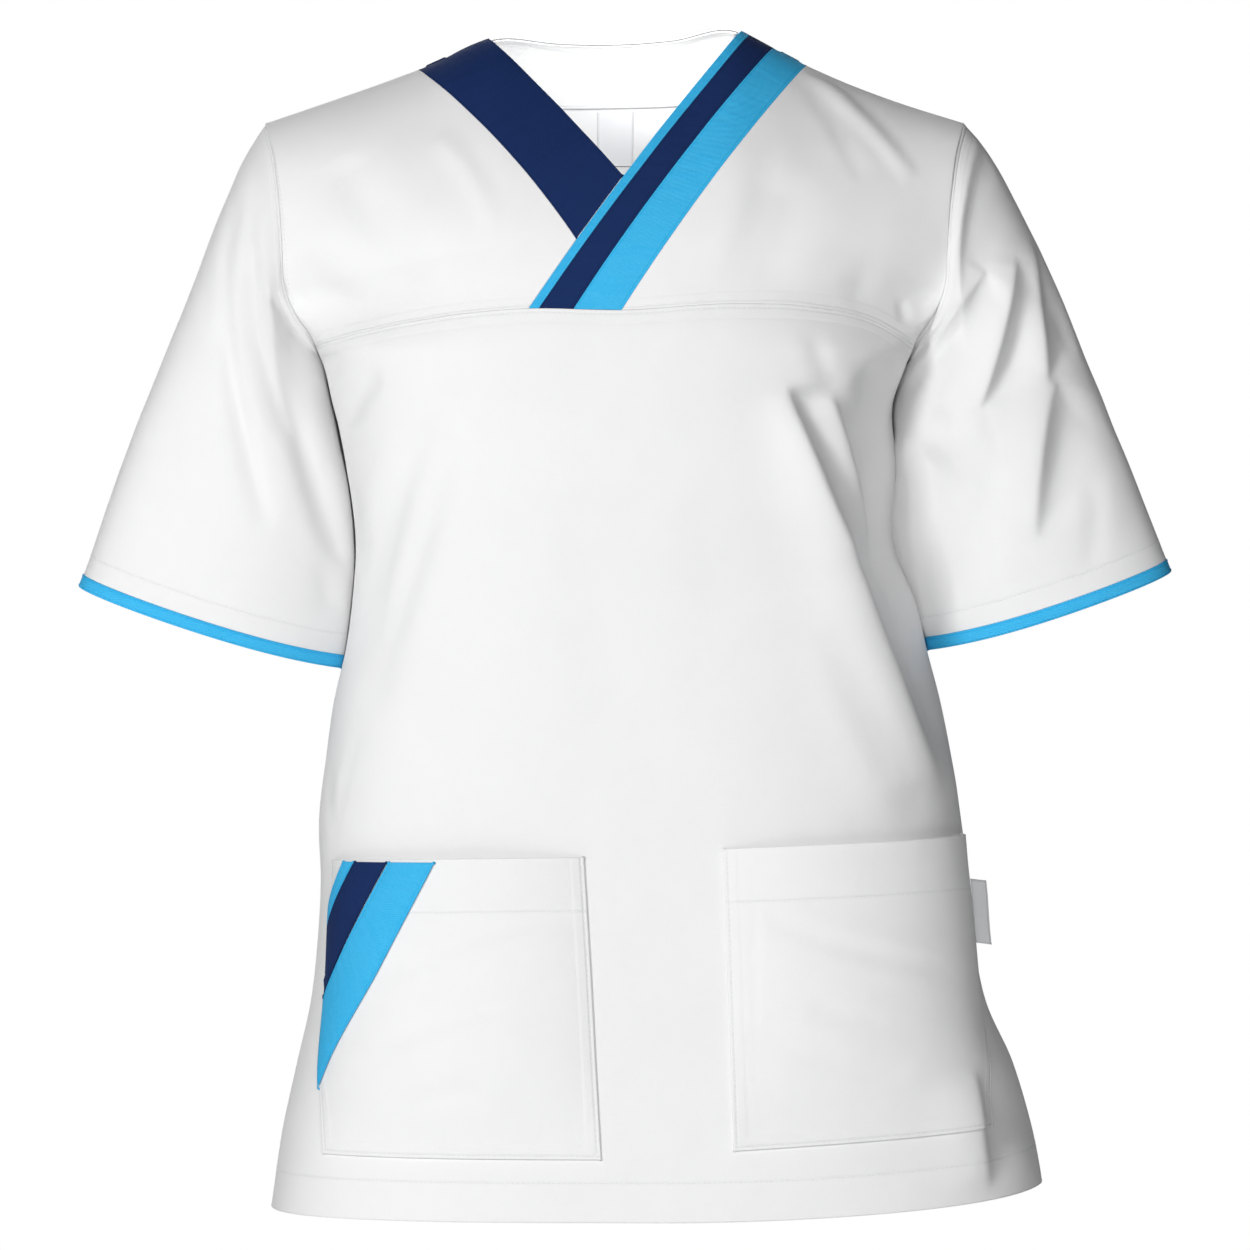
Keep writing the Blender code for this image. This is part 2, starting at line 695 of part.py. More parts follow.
def sleeve_form(rings, side):
    """A sleeve's points as a function of its share down and its angle round."""
    shares = [ring.share for ring in rings]
    outer = smooth(shares, [ring.outer * MM for ring in rings])
    drop = smooth(shares, [ring.drop * MM for ring in rings])
    inner = smooth(shares, [ring.inner * MM for ring in rings])
    inner_drop = smooth(shares, [ring.inner_drop * MM for ring in rings])
    depth = smooth(shares, [ring.depth * MM for ring in rings])

    def form(share, angle):
        part = (1 - np.cos(angle)) / 2
        x = outer(share) + (inner(share) - outer(share)) * part
        height = drop(share) + (inner_drop(share) - drop(share)) * part
        seam_x = body_right(armhole_height(angle))
        chord_x = outer(0.0) + (inner(0.0) - outer(0.0)) * part
        x = x + (seam_x - chord_x) * (1 - ease(share * 2.2))
        slope_x, slope_z = inner(share) - outer(share), inner_drop(share) - drop(share)
        size = np.hypot(slope_x, slope_z)
        bow = CUFF_BOW * ease(share) * np.sin(angle)
        x = x - slope_z / size * bow
        height = height + slope_x / size * bow
        return stack(side * x, -depth(share) * np.sin(angle), height)

    return form


def sleeve_surface(form, share, angle, side, folds):
    """Points and outward directions on a sleeve's folded cloth."""
    step = 0.003                  # for the slope, not a size
    round_about = form(share, angle + step) - form(share, angle - step)
    down = form(share + step, angle) - form(np.maximum(share - step, 0), angle)
    normals = unit(np.cross(round_about, down)) * side
    start = armhole_normal(angle, side)
    mix = np.expand_dims(ease(share / TURN_FROM_SEAM), -1)
    normals = unit(start * (1 - mix) + normals * mix)
    points = form(share, angle)
    fade = ease(share / FOLDS_FROM_SEAM) * ease((1 - share) / FOLDS_FROM_CUFF)
    toward = fold_height(points[..., 0], points[..., 2], folds)
    behind_x, behind_z = points[..., 0] + side * BACK_FOLD_ASIDE, points[..., 2] - BACK_FOLD_DOWN
    behind = fold_height(behind_x, behind_z, folds)
    move = np.where(np.sin(angle) > 0, toward, behind) * ease(np.abs(np.sin(angle)) * 2)
    return points + normals * np.expand_dims(move * fade, -1), normals


def sleeve_angles():
    return np.linspace(0, 2 * math.pi, 2 * ARMHOLE_STEPS + 1)[:-1]


def binding_share(rings, angle):
    """Where the cuff binding starts, so that it is equally wide all round."""
    last, before = rings[-1], rings[-2]
    span = last.share - before.share
    outer = math.hypot(last.outer - before.outer, last.drop - before.drop)
    inner = math.hypot(last.inner - before.inner, last.inner_drop - before.inner_drop)
    mix = (1 - np.cos(angle)) / 2
    return 1 - BINDING_WIDTH / MM * span / (outer + (inner - outer) * mix)


def build_sleeve(name, cuff_name, rings, side, folds, cloth, binding):
    """A sleeve and the binding round its cuff."""
    form = sleeve_form(rings, side)
    angles = sleeve_angles()
    end = binding_share(rings, angles)
    share = np.linspace(0, 1, SLEEVE_ROWS + 1)[:, None] * end[None, :]
    angle = np.tile(angles, (len(share), 1))
    points, normals = sleeve_surface(form, share, angle, side, folds)
    points[0, :, 0] += side * SEAM / 2
    wall(name, points, normals, CLOTH, cloth, ring=True)
    start = end + SEAM / BINDING_WIDTH * (1 - end)
    share = np.stack([start, np.ones(len(angles))])
    angle = np.tile(angles, (2, 1))
    points, normals = sleeve_surface(form, share, angle, side, folds)
    points = points + normals * (BINDING - CLOTH) / 2
    wall(cuff_name, points, normals, BINDING, binding, ring=True)


def pocket_edges(rows):
    """The pocket's two side edges as curves from its bottom to its top."""
    share = np.linspace(0, 1, len(rows))
    columns = ("inner", "inner_height", "outer", "outer_height")
    return [smooth(share, [getattr(row, name) * MM for row in rows]) for name in columns]


def pocket_swell(across, up):
    """Fullness of a pocket, none on its three sewn sides."""
    side = (1 - np.abs(2 * across - 1) ** 2.6) * ease(up * 2.5)
    return POCKET_SWELL * side * (0.75 + 0.25 * up)


def pocket_surface(rows, across, up):
    """Outer points of a pocket at its own shares across and up."""
    inner_x, inner_z, outer_x, outer_z = pocket_edges(rows)
    start = turn_at(inner_x(up), inner_z(up))
    end = turn_at(outer_x(up), outer_z(up))
    turn = start + (end - start) * across
    height = inner_z(up) + (outer_z(up) - inner_z(up)) * across
    lift = LAID_ON + CLOTH + pocket_swell(across, up)
    return on_body(turn, height, -1, lift)


def build_pocket(name, rows, material):
    across = np.linspace(0, 1, POCKET_COLUMNS + 1)[None, :]
    up = np.linspace(0, 1, POCKET_ROWS + 1)[:, None]
    across, up = np.broadcast_arrays(across, up)
    points, normals = pocket_surface(rows, across, up)
    wall(name, points, normals, CLOTH, material)


def pocket_place(rows, x, height):
    """Shares across and up a pocket of points seen from the front."""
    inner_x, inner_z, outer_x, outer_z = pocket_edges(rows)
    across = np.full(np.shape(x), 0.5)
    for _ in range(6):
        low = inner_z(0.0) + (outer_z(0.0) - inner_z(0.0)) * across
        high = inner_z(1.0) + (outer_z(1.0) - inner_z(1.0)) * across
        up = np.clip((height - low) / (high - low), 0, 1)
        start = turn_at(inner_x(up), inner_z(up))
        end = turn_at(outer_x(up), outer_z(up))
        across = np.clip((turn_at(x, height) - start) / (end - start), 0, 1)
    return across, up


def build_tapes(navy, blue):
    """Three diagonal tapes that cut off the right pocket's upper outer corner."""
    inner_x, inner_z, outer_x, outer_z = pocket_edges(POCKET_RIGHT)
    high = float(outer_z(1.0)) - SEAM
    low = float(outer_z(0.0))

    def end_points(edge):
        down = edge.down_side * MM
        side_x = float(outer_x((down - low) / (high - low))) + SEAM
        return np.array([edge.along_top * MM, high]), np.array([side_x, down])

    names = ("pocket_tape_piping", "pocket_tape_navy", "pocket_tape_blue")
    for name, first, second, material in zip(names, TAPE_EDGES, TAPE_EDGES[1:],
                                             (blue, navy, blue)):
        along = np.linspace(0, 1, 11)[:, None, None]
        width = np.linspace(TAPE_SPACE, 1 - TAPE_SPACE, 3)[None, :, None]
        top_a, side_a = end_points(first)
        top_b, side_b = end_points(second)
        place = ((1 - width) * ((1 - along) * top_a + along * side_a)
                 + width * ((1 - along) * top_b + along * side_b))
        across, up = pocket_place(POCKET_RIGHT, place[..., 0], place[..., 1])
        points, normals = pocket_surface(POCKET_RIGHT, across, up)
        points = points + normals * (LAID_ON + TRIM)
        wall(name, points, normals, TRIM, material)


def inside_back(net, rows, columns, inset):
    """Points inside the back panel at fractional places of its own net."""
    points, normals = net
    row, column = np.broadcast_arrays(rows, columns)
    low, start = np.floor(row).astype(int), np.floor(column).astype(int)
    low = np.minimum(low, points.shape[0] - 2)
    up, aside = (row - low)[..., None], (column - start)[..., None]

    def blend(values):
        lower = values[low, start] * (1 - aside) + values[low, start + 1] * aside
        upper = values[low + 1, start] * (1 - aside) + values[low + 1, start + 1] * aside
        return lower * (1 - up) + upper * up

    inward = -unit(blend(normals))
    return blend(points) + inward * inset, inward


def build_neck_inside(net, cloth, label):
    """The facing and the label inside the back neck, on the back panel's own points."""
    top = net[0].shape[0] - 1
    first = BACK_COLUMNS_SIDE + FACING_INSET
    last = BACK_COLUMNS_SIDE + BACK_COLUMNS_NECK - FACING_INSET
    columns = np.arange(math.ceil(first), math.floor(last) + 1)
    columns = np.concatenate([[first], columns, [last]])[None, :]
    rows = np.append(np.arange(top - FACING_ROWS, top), top - FACING_TOP)[:, None]
    points, normals = inside_back(net, rows, columns, CLOTH + LAID_ON + CLOTH)
    wall("back_neck_facing", points, normals, CLOTH, cloth)
    middle = BACK_COLUMNS_SIDE + BACK_COLUMNS_NECK / 2
    columns = middle + np.array([-NECK_LABEL_HALF, 0, NECK_LABEL_HALF])[None, :]
    rows = top - FACING_ROWS - np.array(NECK_LABEL_ROWS)[:, None]
    points, normals = inside_back(net, rows, columns, CLOTH + LAID_ON + TRIM)
    wall("neck_label", points, normals, TRIM, label)


def build_side_label(material):
    """A folded label caught in the left side seam, which stands out sideways."""
    height = np.linspace(SIDE_LABEL_BOTTOM, SIDE_LABEL_TOP, 4)
    turn = QUARTER - side_shift(QUARTER, height)
    start = torso(turn, height, -1)
    out = unit(torso_normal(turn, height, -1) * np.array([1, 1, 0]))
    forward = np.stack([out[:, 1], -out[:, 0], 0 * height], axis=-1)
    reach = np.array([2 * SEAM, SIDE_LABEL_REACH / 2, SIDE_LABEL_REACH])
    points = start[:, None] + out[:, None] * reach[None, :, None]
    points[..., 2] -= SIDE_LABEL_DROOP * reach
    normals = np.repeat(forward[:, None], len(reach), axis=1)
    wall("side_label", points + normals * TRIM / 2, normals, TRIM, material)


def main():
    for old in list(bpy.data.objects):
        bpy.data.objects.remove(old, do_unlink=True)
    collection = bpy.data.collections.new("medical_tunic")
    bpy.context.scene.collection.children.link(collection)
    white = cloth_material("white_poly_cotton", WHITE, 0.75)
    navy = cloth_material("navy_twill", NAVY, 0.7)
    blue = cloth_material("light_blue_twill", BLUE, 0.65)
    label = cloth_material("label_satin", LABEL_WHITE, 0.5)
    build_front_panel(white)
    back_net = build_back_panel(white)
    build_yoke("front_yoke_right", -1, white)
    build_yoke("front_yoke_left", 1, white)
    build_bands(navy, blue)
    build_sleeve("sleeve_right", "cuff_binding_right", SLEEVE_RIGHT, -1,
                 SLEEVE_RIGHT_FOLDS, white, blue)
    build_sleeve("sleeve_left", "cuff_binding_left", SLEEVE_LEFT, 1,
                 SLEEVE_LEFT_FOLDS, white, blue)
    build_pocket("pocket_right", POCKET_RIGHT, white)
    build_pocket("pocket_left", POCKET_LEFT, white)
    build_tapes(navy, blue)
    build_neck_inside(back_net, white, label)
    build_side_label(label)


main()
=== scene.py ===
import math

import bpy
import numpy as np
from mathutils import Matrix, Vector


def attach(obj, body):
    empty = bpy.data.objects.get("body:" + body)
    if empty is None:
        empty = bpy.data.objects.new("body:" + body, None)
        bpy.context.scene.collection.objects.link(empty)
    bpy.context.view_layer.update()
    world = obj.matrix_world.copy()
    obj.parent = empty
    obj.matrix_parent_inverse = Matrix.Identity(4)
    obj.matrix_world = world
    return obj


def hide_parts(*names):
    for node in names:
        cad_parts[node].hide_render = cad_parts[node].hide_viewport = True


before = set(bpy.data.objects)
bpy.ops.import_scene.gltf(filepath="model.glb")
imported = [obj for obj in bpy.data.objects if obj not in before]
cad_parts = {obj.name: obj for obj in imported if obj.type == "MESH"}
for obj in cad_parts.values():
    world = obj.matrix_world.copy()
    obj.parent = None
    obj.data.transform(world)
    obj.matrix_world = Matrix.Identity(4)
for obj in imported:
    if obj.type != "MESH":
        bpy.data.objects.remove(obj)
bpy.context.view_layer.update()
print("frame loaded")

mm = 0.001
quarter = math.pi / 2

form = {  # sizes of the hollow form, fuller at its corners than the solids
    "seam": 0.3 * mm, "cloth": 1.2 * mm, "trim": 1.0 * mm, "laidOn": 0.5 * mm,
    "shoulderTip": -55 * mm, "armpit": -198 * mm, "armholeDepth": 60 * mm,
    "shoulderRound": 140 * mm, "roundness": 2.9, "yokeRoundness": 3.0,
    "yokeBlend": 42 * mm, "neckHalf": 76 * mm, "napeDepth": 58 * mm,
    "hem": -702 * mm, "hemRiseLeft": 15 * mm, "sideTurn": math.radians(14),
    "armholeSteps": 14, "seamStep": 12, "plainStep": 9, "uneven": 0.35, "foldStart": 20 * mm,
}

bodyRows = [  # height, left, right, front, back
    (-706, -206, 258, 124, 118), (-653, -198, 249, 125, 121), (-617, -190, 238, 124, 121),
    (-581, -182, 222, 121, 117), (-545, -178, 215, 118, 112), (-509, -176, 212, 114, 106),
    (-473, -177, 207, 111, 100), (-437, -173, 202, 109, 96), (-401, -168, 195, 108, 94),
    (-370, -161, 187, 108, 94), (-340, -157, 180, 110, 95), (-310, -155, 168, 113, 98),
    (-265, -160, 170, 118, 103), (-221, -169, 167, 119, 108), (-198, -175, 175, 118, 110),
    (-185, -180, 180, 117, 112), (-170, -190, 190, 115, 113), (-155, -195, 195, 113, 114),
    (-137, -196, 196, 110, 114), (-101, -199, 199, 101, 112), (-76, -203, 203, 94, 107),
    (-55, -209, 209, 87, 101), (10, -209, 209, 74, 86),
]
shoulderRows = [  # across, height
    (-209, -55), (-168, -41), (-134, -29), (-106, -18), (-86, -8), (-72, -3), (-36, -2),
    (0, -1), (36, 0), (72, 2), (86, -5), (106, -16), (134, -29), (168, -42), (209, -55),
]
chestSeamRows = [  # across, height
    (-178, -191), (-160, -187), (-126, -180), (-91, -175), (-50, -172), (4, -173),
    (73, -169), (114, -170), (155, -178), (178, -191),
]
# folds: three points across and up, width, depth (below zero a ridge), crease (0 a soft trough,
# -1 a crest that drops to the wearer's left, 1 to the right), and how much it widens on its way
frontFolds = [
    (-132, -208, -152, -222, -158, -246, 11, 3, 0, 0),
    (-106, -236, -135, -304, -153, -396, 15, 5, 0, 0),
    (-90, -242, -119, -320, -144, -410, 13, 3.5, 0, 0),
    (99, -216, 138, -318, 196, -462, 16, 22, -1, 0.5),
    (122, -354, 150, -412, 184, -478, 15, 2.6, -0.3, 0.2),
    (126, -216, 147, -268, 164, -318, 15, 21, -1, 0.2),
    (146, -202, 156, -228, 161, -258, 14, 3, 0, 0),
    (-164, -78, -142, -116, -107, -170, 22, 3, 0, 0),
    (104, -84, 94, -124, 76, -164, 22, 2.5, 0, 0),
    (206, -612, 214, -650, 219, -692, 15, 9, -1, 0),
]
yokeFineFolds = [
    (-107, -66, -86, -91, -69, -128, 9, -1.2, 0, 0),
    (-164, -77, -142, -116, -107, -173, 12, 1.2, 0.3, 0),
    (-183, -137, -166, -161, -134, -177, 10, 1.0, 0, 0),
    (110, -24, 140, -50, 178, -96, 7, -2.0, 0, 0),
    (112, -36, 132, -62, 146, -98, 8, 1.4, 0.3, 0),
    (96, -59, 82, -117, 63, -163, 10, 1.0, 0.3, 0),
    (168, -161, 170, -170, 173, -179, 5, 1.2, 0, 0),
    (155, -131, 144, -158, 137, -173, 10, 1.0, 0, 0),
]
bodyFineFolds = [
    (-132, -210, -154, -225, -158, -245, 8, 1.6, -0.4, 0),
    (-109, -238, -131, -289, -154, -394, 10, 1.4, -0.5, 0),
    (-93, -245, -116, -306, -143, -394, 9, 1.2, -0.5, 0),
    (-149, -407, -162, -460, -168, -496, 4, 1.2, -0.5, 0),
    (-168, -437, -168, -458, -167, -478, 4, 0.9, 0, 0),
    (-84, -184, -102, -213, -116, -248, 10, 0.9, 0, 0),
    (-157, -265, -153, -295, -153, -327, 7, 1.2, 0, 0),
    (145, -200, 155, -219, 163, -246, 12, 2.0, 0, 0),
    (117, -184, 121, -204, 137, -230, 8, 1.2, 0, 0),
    (-32, -295, -9, -365, -3, -434, 26, 0.9, 0, 0),
    (50, -265, 61, -318, 64, -376, 24, 0.8, 0, 0),
]
backFolds = [
    (-112, -215, -130, -284, -152, -380, 14, 9, 0.8, 0.2),
    (110, -222, 136, -304, 172, -400, 14, 10, -0.8, 0.2),
    (-60, -372, -20, -382, 24, -376, 14, 5, 0.4, 0),
    (-84, -404, -30, -412, 40, -402, 14, 5, 0.4, 0),
    (-150, -90, -120, -130, -96, -186, 18, 4, 0.3, 0),
    (150, -90, 122, -134, 100, -190, 18, 4, -0.3, 0),
]
backFineFolds = [
    (-118, -208, -134, -262, -147, -350, 8, 2.2, 0.3, 0),
    (-96, -226, -118, -300, -138, -380, 9, 1.6, 0.3, 0),
    (112, -214, 136, -286, 168, -392, 8, 2.4, 0.3, 0),
    (92, -240, 118, -318, 150, -404, 9, 1.6, 0.3, 0),
    (-72, -352, -26, -362, 30, -358, 8, 1.4, 0.2, 0),
    (-64, -388, -16, -396, 46, -388, 8, 1.6, 0.2, 0),
    (-94, -424, -40, -434, 22, -428, 9, 1.2, 0.2, 0),
    (-150, -78, -128, -120, -104, -180, 10, 1.2, 0.3, 0),
    (152, -80, 128, -124, 106, -184, 10, 1.2, 0.3, 0),
    (-120, -480, -104, -560, -98, -660, 20, 2.2, 0, 0),
    (124, -470, 130, -560, 136, -670, 20, 2.2, 0, 0),
    (-12, -470, -4, -560, 2, -668, 24, 1.8, 0, 0),
    (-12, -70, -12, -82, -12, -96, 5, 0.9, 0, 0),
    (4, -78, 5, -90, 6, -104, 5, 0.9, 0, 0),
    (40, -40, 44, -70, 52, -110, 9, 1.0, 0, 0),
]
sleeveRightRows = [  # share, outer, drop, inner, inner drop, depth
    (0.00, 209, -55, 175, -198, 60), (0.07, 220, -74, 179, -209, 61),
    (0.18, 233, -103, 175, -227, 60), (0.39, 256, -161, 164, -266, 56),
    (0.61, 281, -221, 159, -308, 51), (0.82, 303, -281, 161, -346, 46),
    (1.00, 321, -332, 167, -382, 43),
]
sleeveLeftRows = [
    (0.00, 209, -55, 175, -198, 60), (0.07, 224, -74, 180, -209, 61),
    (0.18, 240, -103, 177, -227, 60), (0.41, 268, -161, 174, -267, 56),
    (0.63, 292, -221, 173, -307, 51), (0.85, 316, -281, 186, -345, 46),
    (1.00, 333, -323, 192, -371, 43),
]
sleeveRightFolds = [
    (-202, -182, -184, -250, -160, -320, 12, 5, 0, 0),
    (-211, -128, -213, -186, -194, -250, 10, 3, 0, 0),
    (-232, -170, -224, -226, -205, -304, 10, 3, 0, 0),
    (-213, -94, -211, -176, -192, -248, 5, 1.2, 0, 0),
    (-222, -101, -229, -180, -203, -303, 6, 1.4, 0, 0),
    (-200, -184, -174, -290, -154, -323, 8, 2.4, 0.3, 0),
    (-210, -162, -198, -166, -176, -201, 5, 1.4, 0, 0),
    (-176, -211, -168, -236, -157, -268, 6, 1.0, 0, 0),
    (-174, -315, -172, -335, -169, -352, 8, 1.2, 0, 0),
    (-259, -225, -265, -265, -271, -318, 14, 1.0, 0, 0),
]
sleeveLeftFolds = [
    (220, -145, 199, -176, 168, -222, 8.5, 8, -1, 0.1),
    (237, -134, 231, -180, 215, -230, 9, 11, -1, -0.3),
    (246, -124, 255, -172, 256, -217, 9.5, 10, -1, 0),
    (262, -207, 254, -250, 249, -310, 12, 9.5, -1, -0.1),
    (174, -236, 178, -300, 190, -368, 13, 12, -1, 0),
    (220, -60, 205, -118, 206, -172, 8, 6, -1, -0.2),
    (215, -222, 220, -240, 227, -258, 6, 1.4, -0.5, 0),
    (184, -225, 191, -235, 201, -248, 10, 1.5, 0, 0),
    (184, -246, 181, -300, 187, -356, 14, 2.5, 0, 0),
    (225, -254, 219, -295, 220, -335, 10, 1.4, 0, 0),
    (283, -265, 285, -295, 281, -327, 9, 1.0, 0, 0),
]
pocketRightRows = [  # inner, inner height, outer, outer height
    (-8, -665, -170, -665), (-11, -612, -172, -616), (-14, -556, -168, -560),
    (-18, -491, -165, -494),
]
pocketLeftRows = [
    (69, -660, 225, -649), (67, -600, 217, -590), (65, -544, 211, -535),
    (63, -486, 205, -480),
]
pocketRightFolds = [
    (-21, -527, -76, -536, -141, -569, 8, 1.6, 0.2, 0),
    (-24, -566, -85, -583, -138, -605, 8, 1.5, 0.2, 0),
    (-71, -628, -100, -629, -126, -639, 9, 1.0, 0, 0),
]
pocketLeftFolds = [
    (82, -525, 146, -547, 203, -561, 8, 1.5, 0.2, 0),
    (80, -596, 142, -613, 174, -611, 9, 1.2, 0.2, 0),
    (107, -579, 132, -583, 156, -586, 8, 0.7, 0, 0),
    (81, -500, 81, -560, 82, -640, 3, 0.4, 0, 0),
]
crossingEdges = [(76, -50, 2), (81, -44, 2), (95, -24, 3), (115, 4, 3)]  # shoulder, seam, bow
plainEdges = [(-118, 0.77, 5), (-76, 0.55, 1)]  # shoulder, where it meets, bow
tapeEdges = [(-153, -518), (-146, -528), (-127, -567), (-101, -623)]  # along top, down side


def smoothCurve(keys, values):
    keys, values = np.array(keys, float), np.array(values, float)
    if keys[0] > keys[-1]:
        keys, values = keys[::-1], values[::-1]
    slopes = np.gradient(values, keys)

    def valueAt(where):
        where = np.clip(np.asarray(where, float), keys[0], keys[-1])
        spot = np.clip(np.searchsorted(keys, where) - 1, 0, len(keys) - 2)
        span = keys[spot + 1] - keys[spot]
        t = (where - keys[spot]) / span
        start = (1 + 2 * t) * (1 - t) ** 2 * values[spot] + t * (1 - t) ** 2 * span * slopes[spot]
        end = t * t * (3 - 2 * t) * values[spot + 1] - t * t * (1 - t) * span * slopes[spot + 1]
        return start + end

    return valueAt


def tableColumn(rows, key, value):
    return smoothCurve([row[key] * mm for row in rows], [row[value] * mm for row in rows])


def ease(share):
    share = np.clip(share, 0, 1)
    return share * share * (3 - 2 * share)


def unit(vectors):
    length = np.sqrt((vectors ** 2).sum(axis=-1, keepdims=True))
    return vectors / np.maximum(length, 1e-12)


def stack(x, y, z):
    return np.stack(np.broadcast_arrays(x, y, z), axis=-1)


bodyLeft, bodyRight = tableColumn(bodyRows, 0, 1), tableColumn(bodyRows, 0, 2)
bodyFront, bodyBack = tableColumn(bodyRows, 0, 3), tableColumn(bodyRows, 0, 4)
shoulderHeight = tableColumn(shoulderRows, 0, 1)
chestSeam = tableColumn(chestSeamRows, 0, 1)


def armholeHeight(angle):
    tip, pit = form["shoulderTip"], form["armpit"]
    return tip + (pit - tip) * (1 - np.cos(angle)) / 2


def panelReach(aside, height, top):  # how far a panel stands forward above its side
    share = np.clip((top - height) / (top - form["armpit"]), 0, 1)
    seam = form["armholeDepth"] * 2 * np.sqrt(share * (1 - share))
    eased = form["armholeDepth"] * np.sin(math.pi * share) ** 1.6
    eased = np.where(share > 0.5, eased, seam)
    atSeam = np.abs(aside) ** 14
    return seam * atSeam + eased * (1 - atSeam)


def turnAt(x, height):
    left, right = bodyLeft(height), bodyRight(height)
    aside = np.clip((2 * x - left - right) / (right - left), -1, 1)
    forward = (1 - np.abs(aside) ** form["roundness"]) ** (1 / form["roundness"])
    return np.arctan2(aside, forward)


def torso(turn, height, face):
    aside, forward = np.sin(turn), np.cos(turn)
    power = form["roundness"]
    reach = (np.abs(aside) ** power + np.abs(forward) ** power) ** (-1 / power)
    aside, forward = aside * reach, forward * reach
    left, right = bodyLeft(height), bodyRight(height)
    x = (left + right) / 2 + (right - left) / 2 * aside
    flatter = ease((height - form["armpit"]) / form["yokeBlend"])
    rounded = 1 - np.abs(aside) ** form["yokeRoundness"]
    forward = (1 - flatter) * forward + flatter * rounded
    drop = np.clip((shoulderHeight(x) - height) / form["shoulderRound"], 0, 1)
    comeForward = np.sqrt(1 - (1 - drop) ** 2)
    share = np.clip(np.abs(x) / form["neckHalf"], 0, 1)
    start = form["napeDepth"] * np.cos(quarter * share) ** 1.2 if face > 0 else 0
    full = bodyBack(height) if face > 0 else bodyFront(height)
    depth = start + (full - start) * comeForward
    edge = panelReach(aside, height, shoulderHeight(x))
    return stack(x, face * (edge + (depth - edge) * forward), height)


def torsoNormal(turn, height, face):
    turnStep, heightStep = 0.004, 0.4 * mm
    across = torso(turn + turnStep, height, face) - torso(turn - turnStep, height, face)
    upward = torso(turn, height, face) - torso(turn, height - heightStep, face)
    return unit(np.cross(across, upward)) * -face


def armholeNormal(angle, side):
    lean = 0.25 + 0.4 * np.cos(angle)
    return unit(stack(side * np.maximum(lean, 0), -np.sin(angle), np.cos(angle)))


foldLook = {"segments": 12, "crest": 0.5, "crestWidth": 1.6, "soften": 0.015, "fade": 0.6,
            "endLength": 1.2}


def foldHeight(x, z, folds):
    look, segments = foldLook, foldLook["segments"]
    total = np.zeros(np.broadcast(x, z).shape)
    share = np.linspace(0, 1, segments + 1)
    first, second, third = (1 - share) ** 2, 2 * share * (1 - share), share ** 2
    for x1, z1, x2, z2, x3, z3, halfWidth, depth, crease, widen in folds:
        pullX, pullZ = 2 * x2 - (x1 + x3) / 2, 2 * z2 - (z1 + z3) / 2
        lineX = (first * x1 + second * pullX + third * x3) * mm
        lineZ = (first * z1 + second * pullZ + third * z3) * mm
        nearest = np.full(total.shape, 1e9)
        along, aside = np.zeros(total.shape), np.zeros(total.shape)
        for k in range(segments):
            stepX, stepZ = lineX[k + 1] - lineX[k], lineZ[k + 1] - lineZ[k]
            size = math.hypot(stepX, stepZ)
            part = ((x - lineX[k]) * stepX + (z - lineZ[k]) * stepZ) / size ** 2
            part = np.clip(part, 0, 1)
            awayX, awayZ = x - lineX[k] - part * stepX, z - lineZ[k] - part * stepZ
            away = np.hypot(awayX, awayZ)
            closer = away < nearest
            along = np.where(closer, (k + part) / segments, along)
            aside = np.where(closer, (awayX * stepZ - awayZ * stepX) / size, aside)
            nearest = np.minimum(away, nearest)
        width = halfWidth * mm * (1 + widen * (2 * along - 1))
        start = segments * size / (look["endLength"] * width)
        ratio = nearest / width
        trough = (1 - ratio ** 2) * np.exp(-ratio ** 2)
        past = aside * np.sign(crease) / width
        start = start / (1 + np.maximum(past, 0))  # the low side opens out from the crest's ends
        fade = np.sin(math.pi * along) ** look["fade"]
        fade = fade * ease(along * start) * ease((1 - along) * start)
        crest = look["crest"] * np.exp(-(past / look["crestWidth"]) ** 2)
        past = (past + np.sqrt(past ** 2 + look["soften"])) / 2
        drop = past * np.exp(1 - past) - crest
        shape = (1 - abs(crease)) * trough + abs(crease) * drop
        total = total - depth * mm * fade * shape
    return total


def clothLife(points, size):  # soft unevenness that no cloth is without
    x, y, z = points[..., 0] * 1000, points[..., 1] * 1000, points[..., 2] * 1000
    wave = np.sin(x / 31 + 1.3 * np.sin(z / 47)) * np.sin(z / 39 + 0.8 * np.sin(y / 29 + x / 61))
    wave = wave + 0.6 * np.sin(x / 17 - z / 26 + np.sin(z / 23)) * np.sin(z / 19 + y / 15)
    wave = wave + 0.3 * np.sin((x + 0.6 * z) / 8.3 + np.sin(z / 13)) * np.sin((z - x) / 14)
    return wave * size


def onBody(turn, height, face, lift=0.0):
    points, normals = torso(turn, height, face), torsoNormal(turn, height, face)
    folds = frontFolds + yokeFineFolds + bodyFineFolds if face < 0 else backFolds + backFineFolds
    below = shoulderHeight(points[..., 0]) - height
    edge = np.cos(turn) * ease(below / form["foldStart"])
    move = foldHeight(points[..., 0], points[..., 2], folds)
    move = (move + clothLife(points, form["uneven"] * mm)) * ease(edge * 2.4) + lift
    return points + normals * np.expand_dims(move, -1), normals


def onFront(x, height):
    return onBody(turnAt(x, height), height, -1)


def sideLengths(points):  # distances along the net from its four sides
    up = np.linalg.norm(np.diff(points, axis=0), axis=-1)
    up = np.concatenate([np.zeros((1, up.shape[1])), np.cumsum(up, axis=0)])
    over = np.linalg.norm(np.diff(points, axis=1), axis=-1)
    over = np.concatenate([np.zeros((over.shape[0], 1)), np.cumsum(over, axis=1)], axis=1)
    return {"bottom": up, "top": up[-1:] - up, "first": over, "last": over[:, -1:] - over}


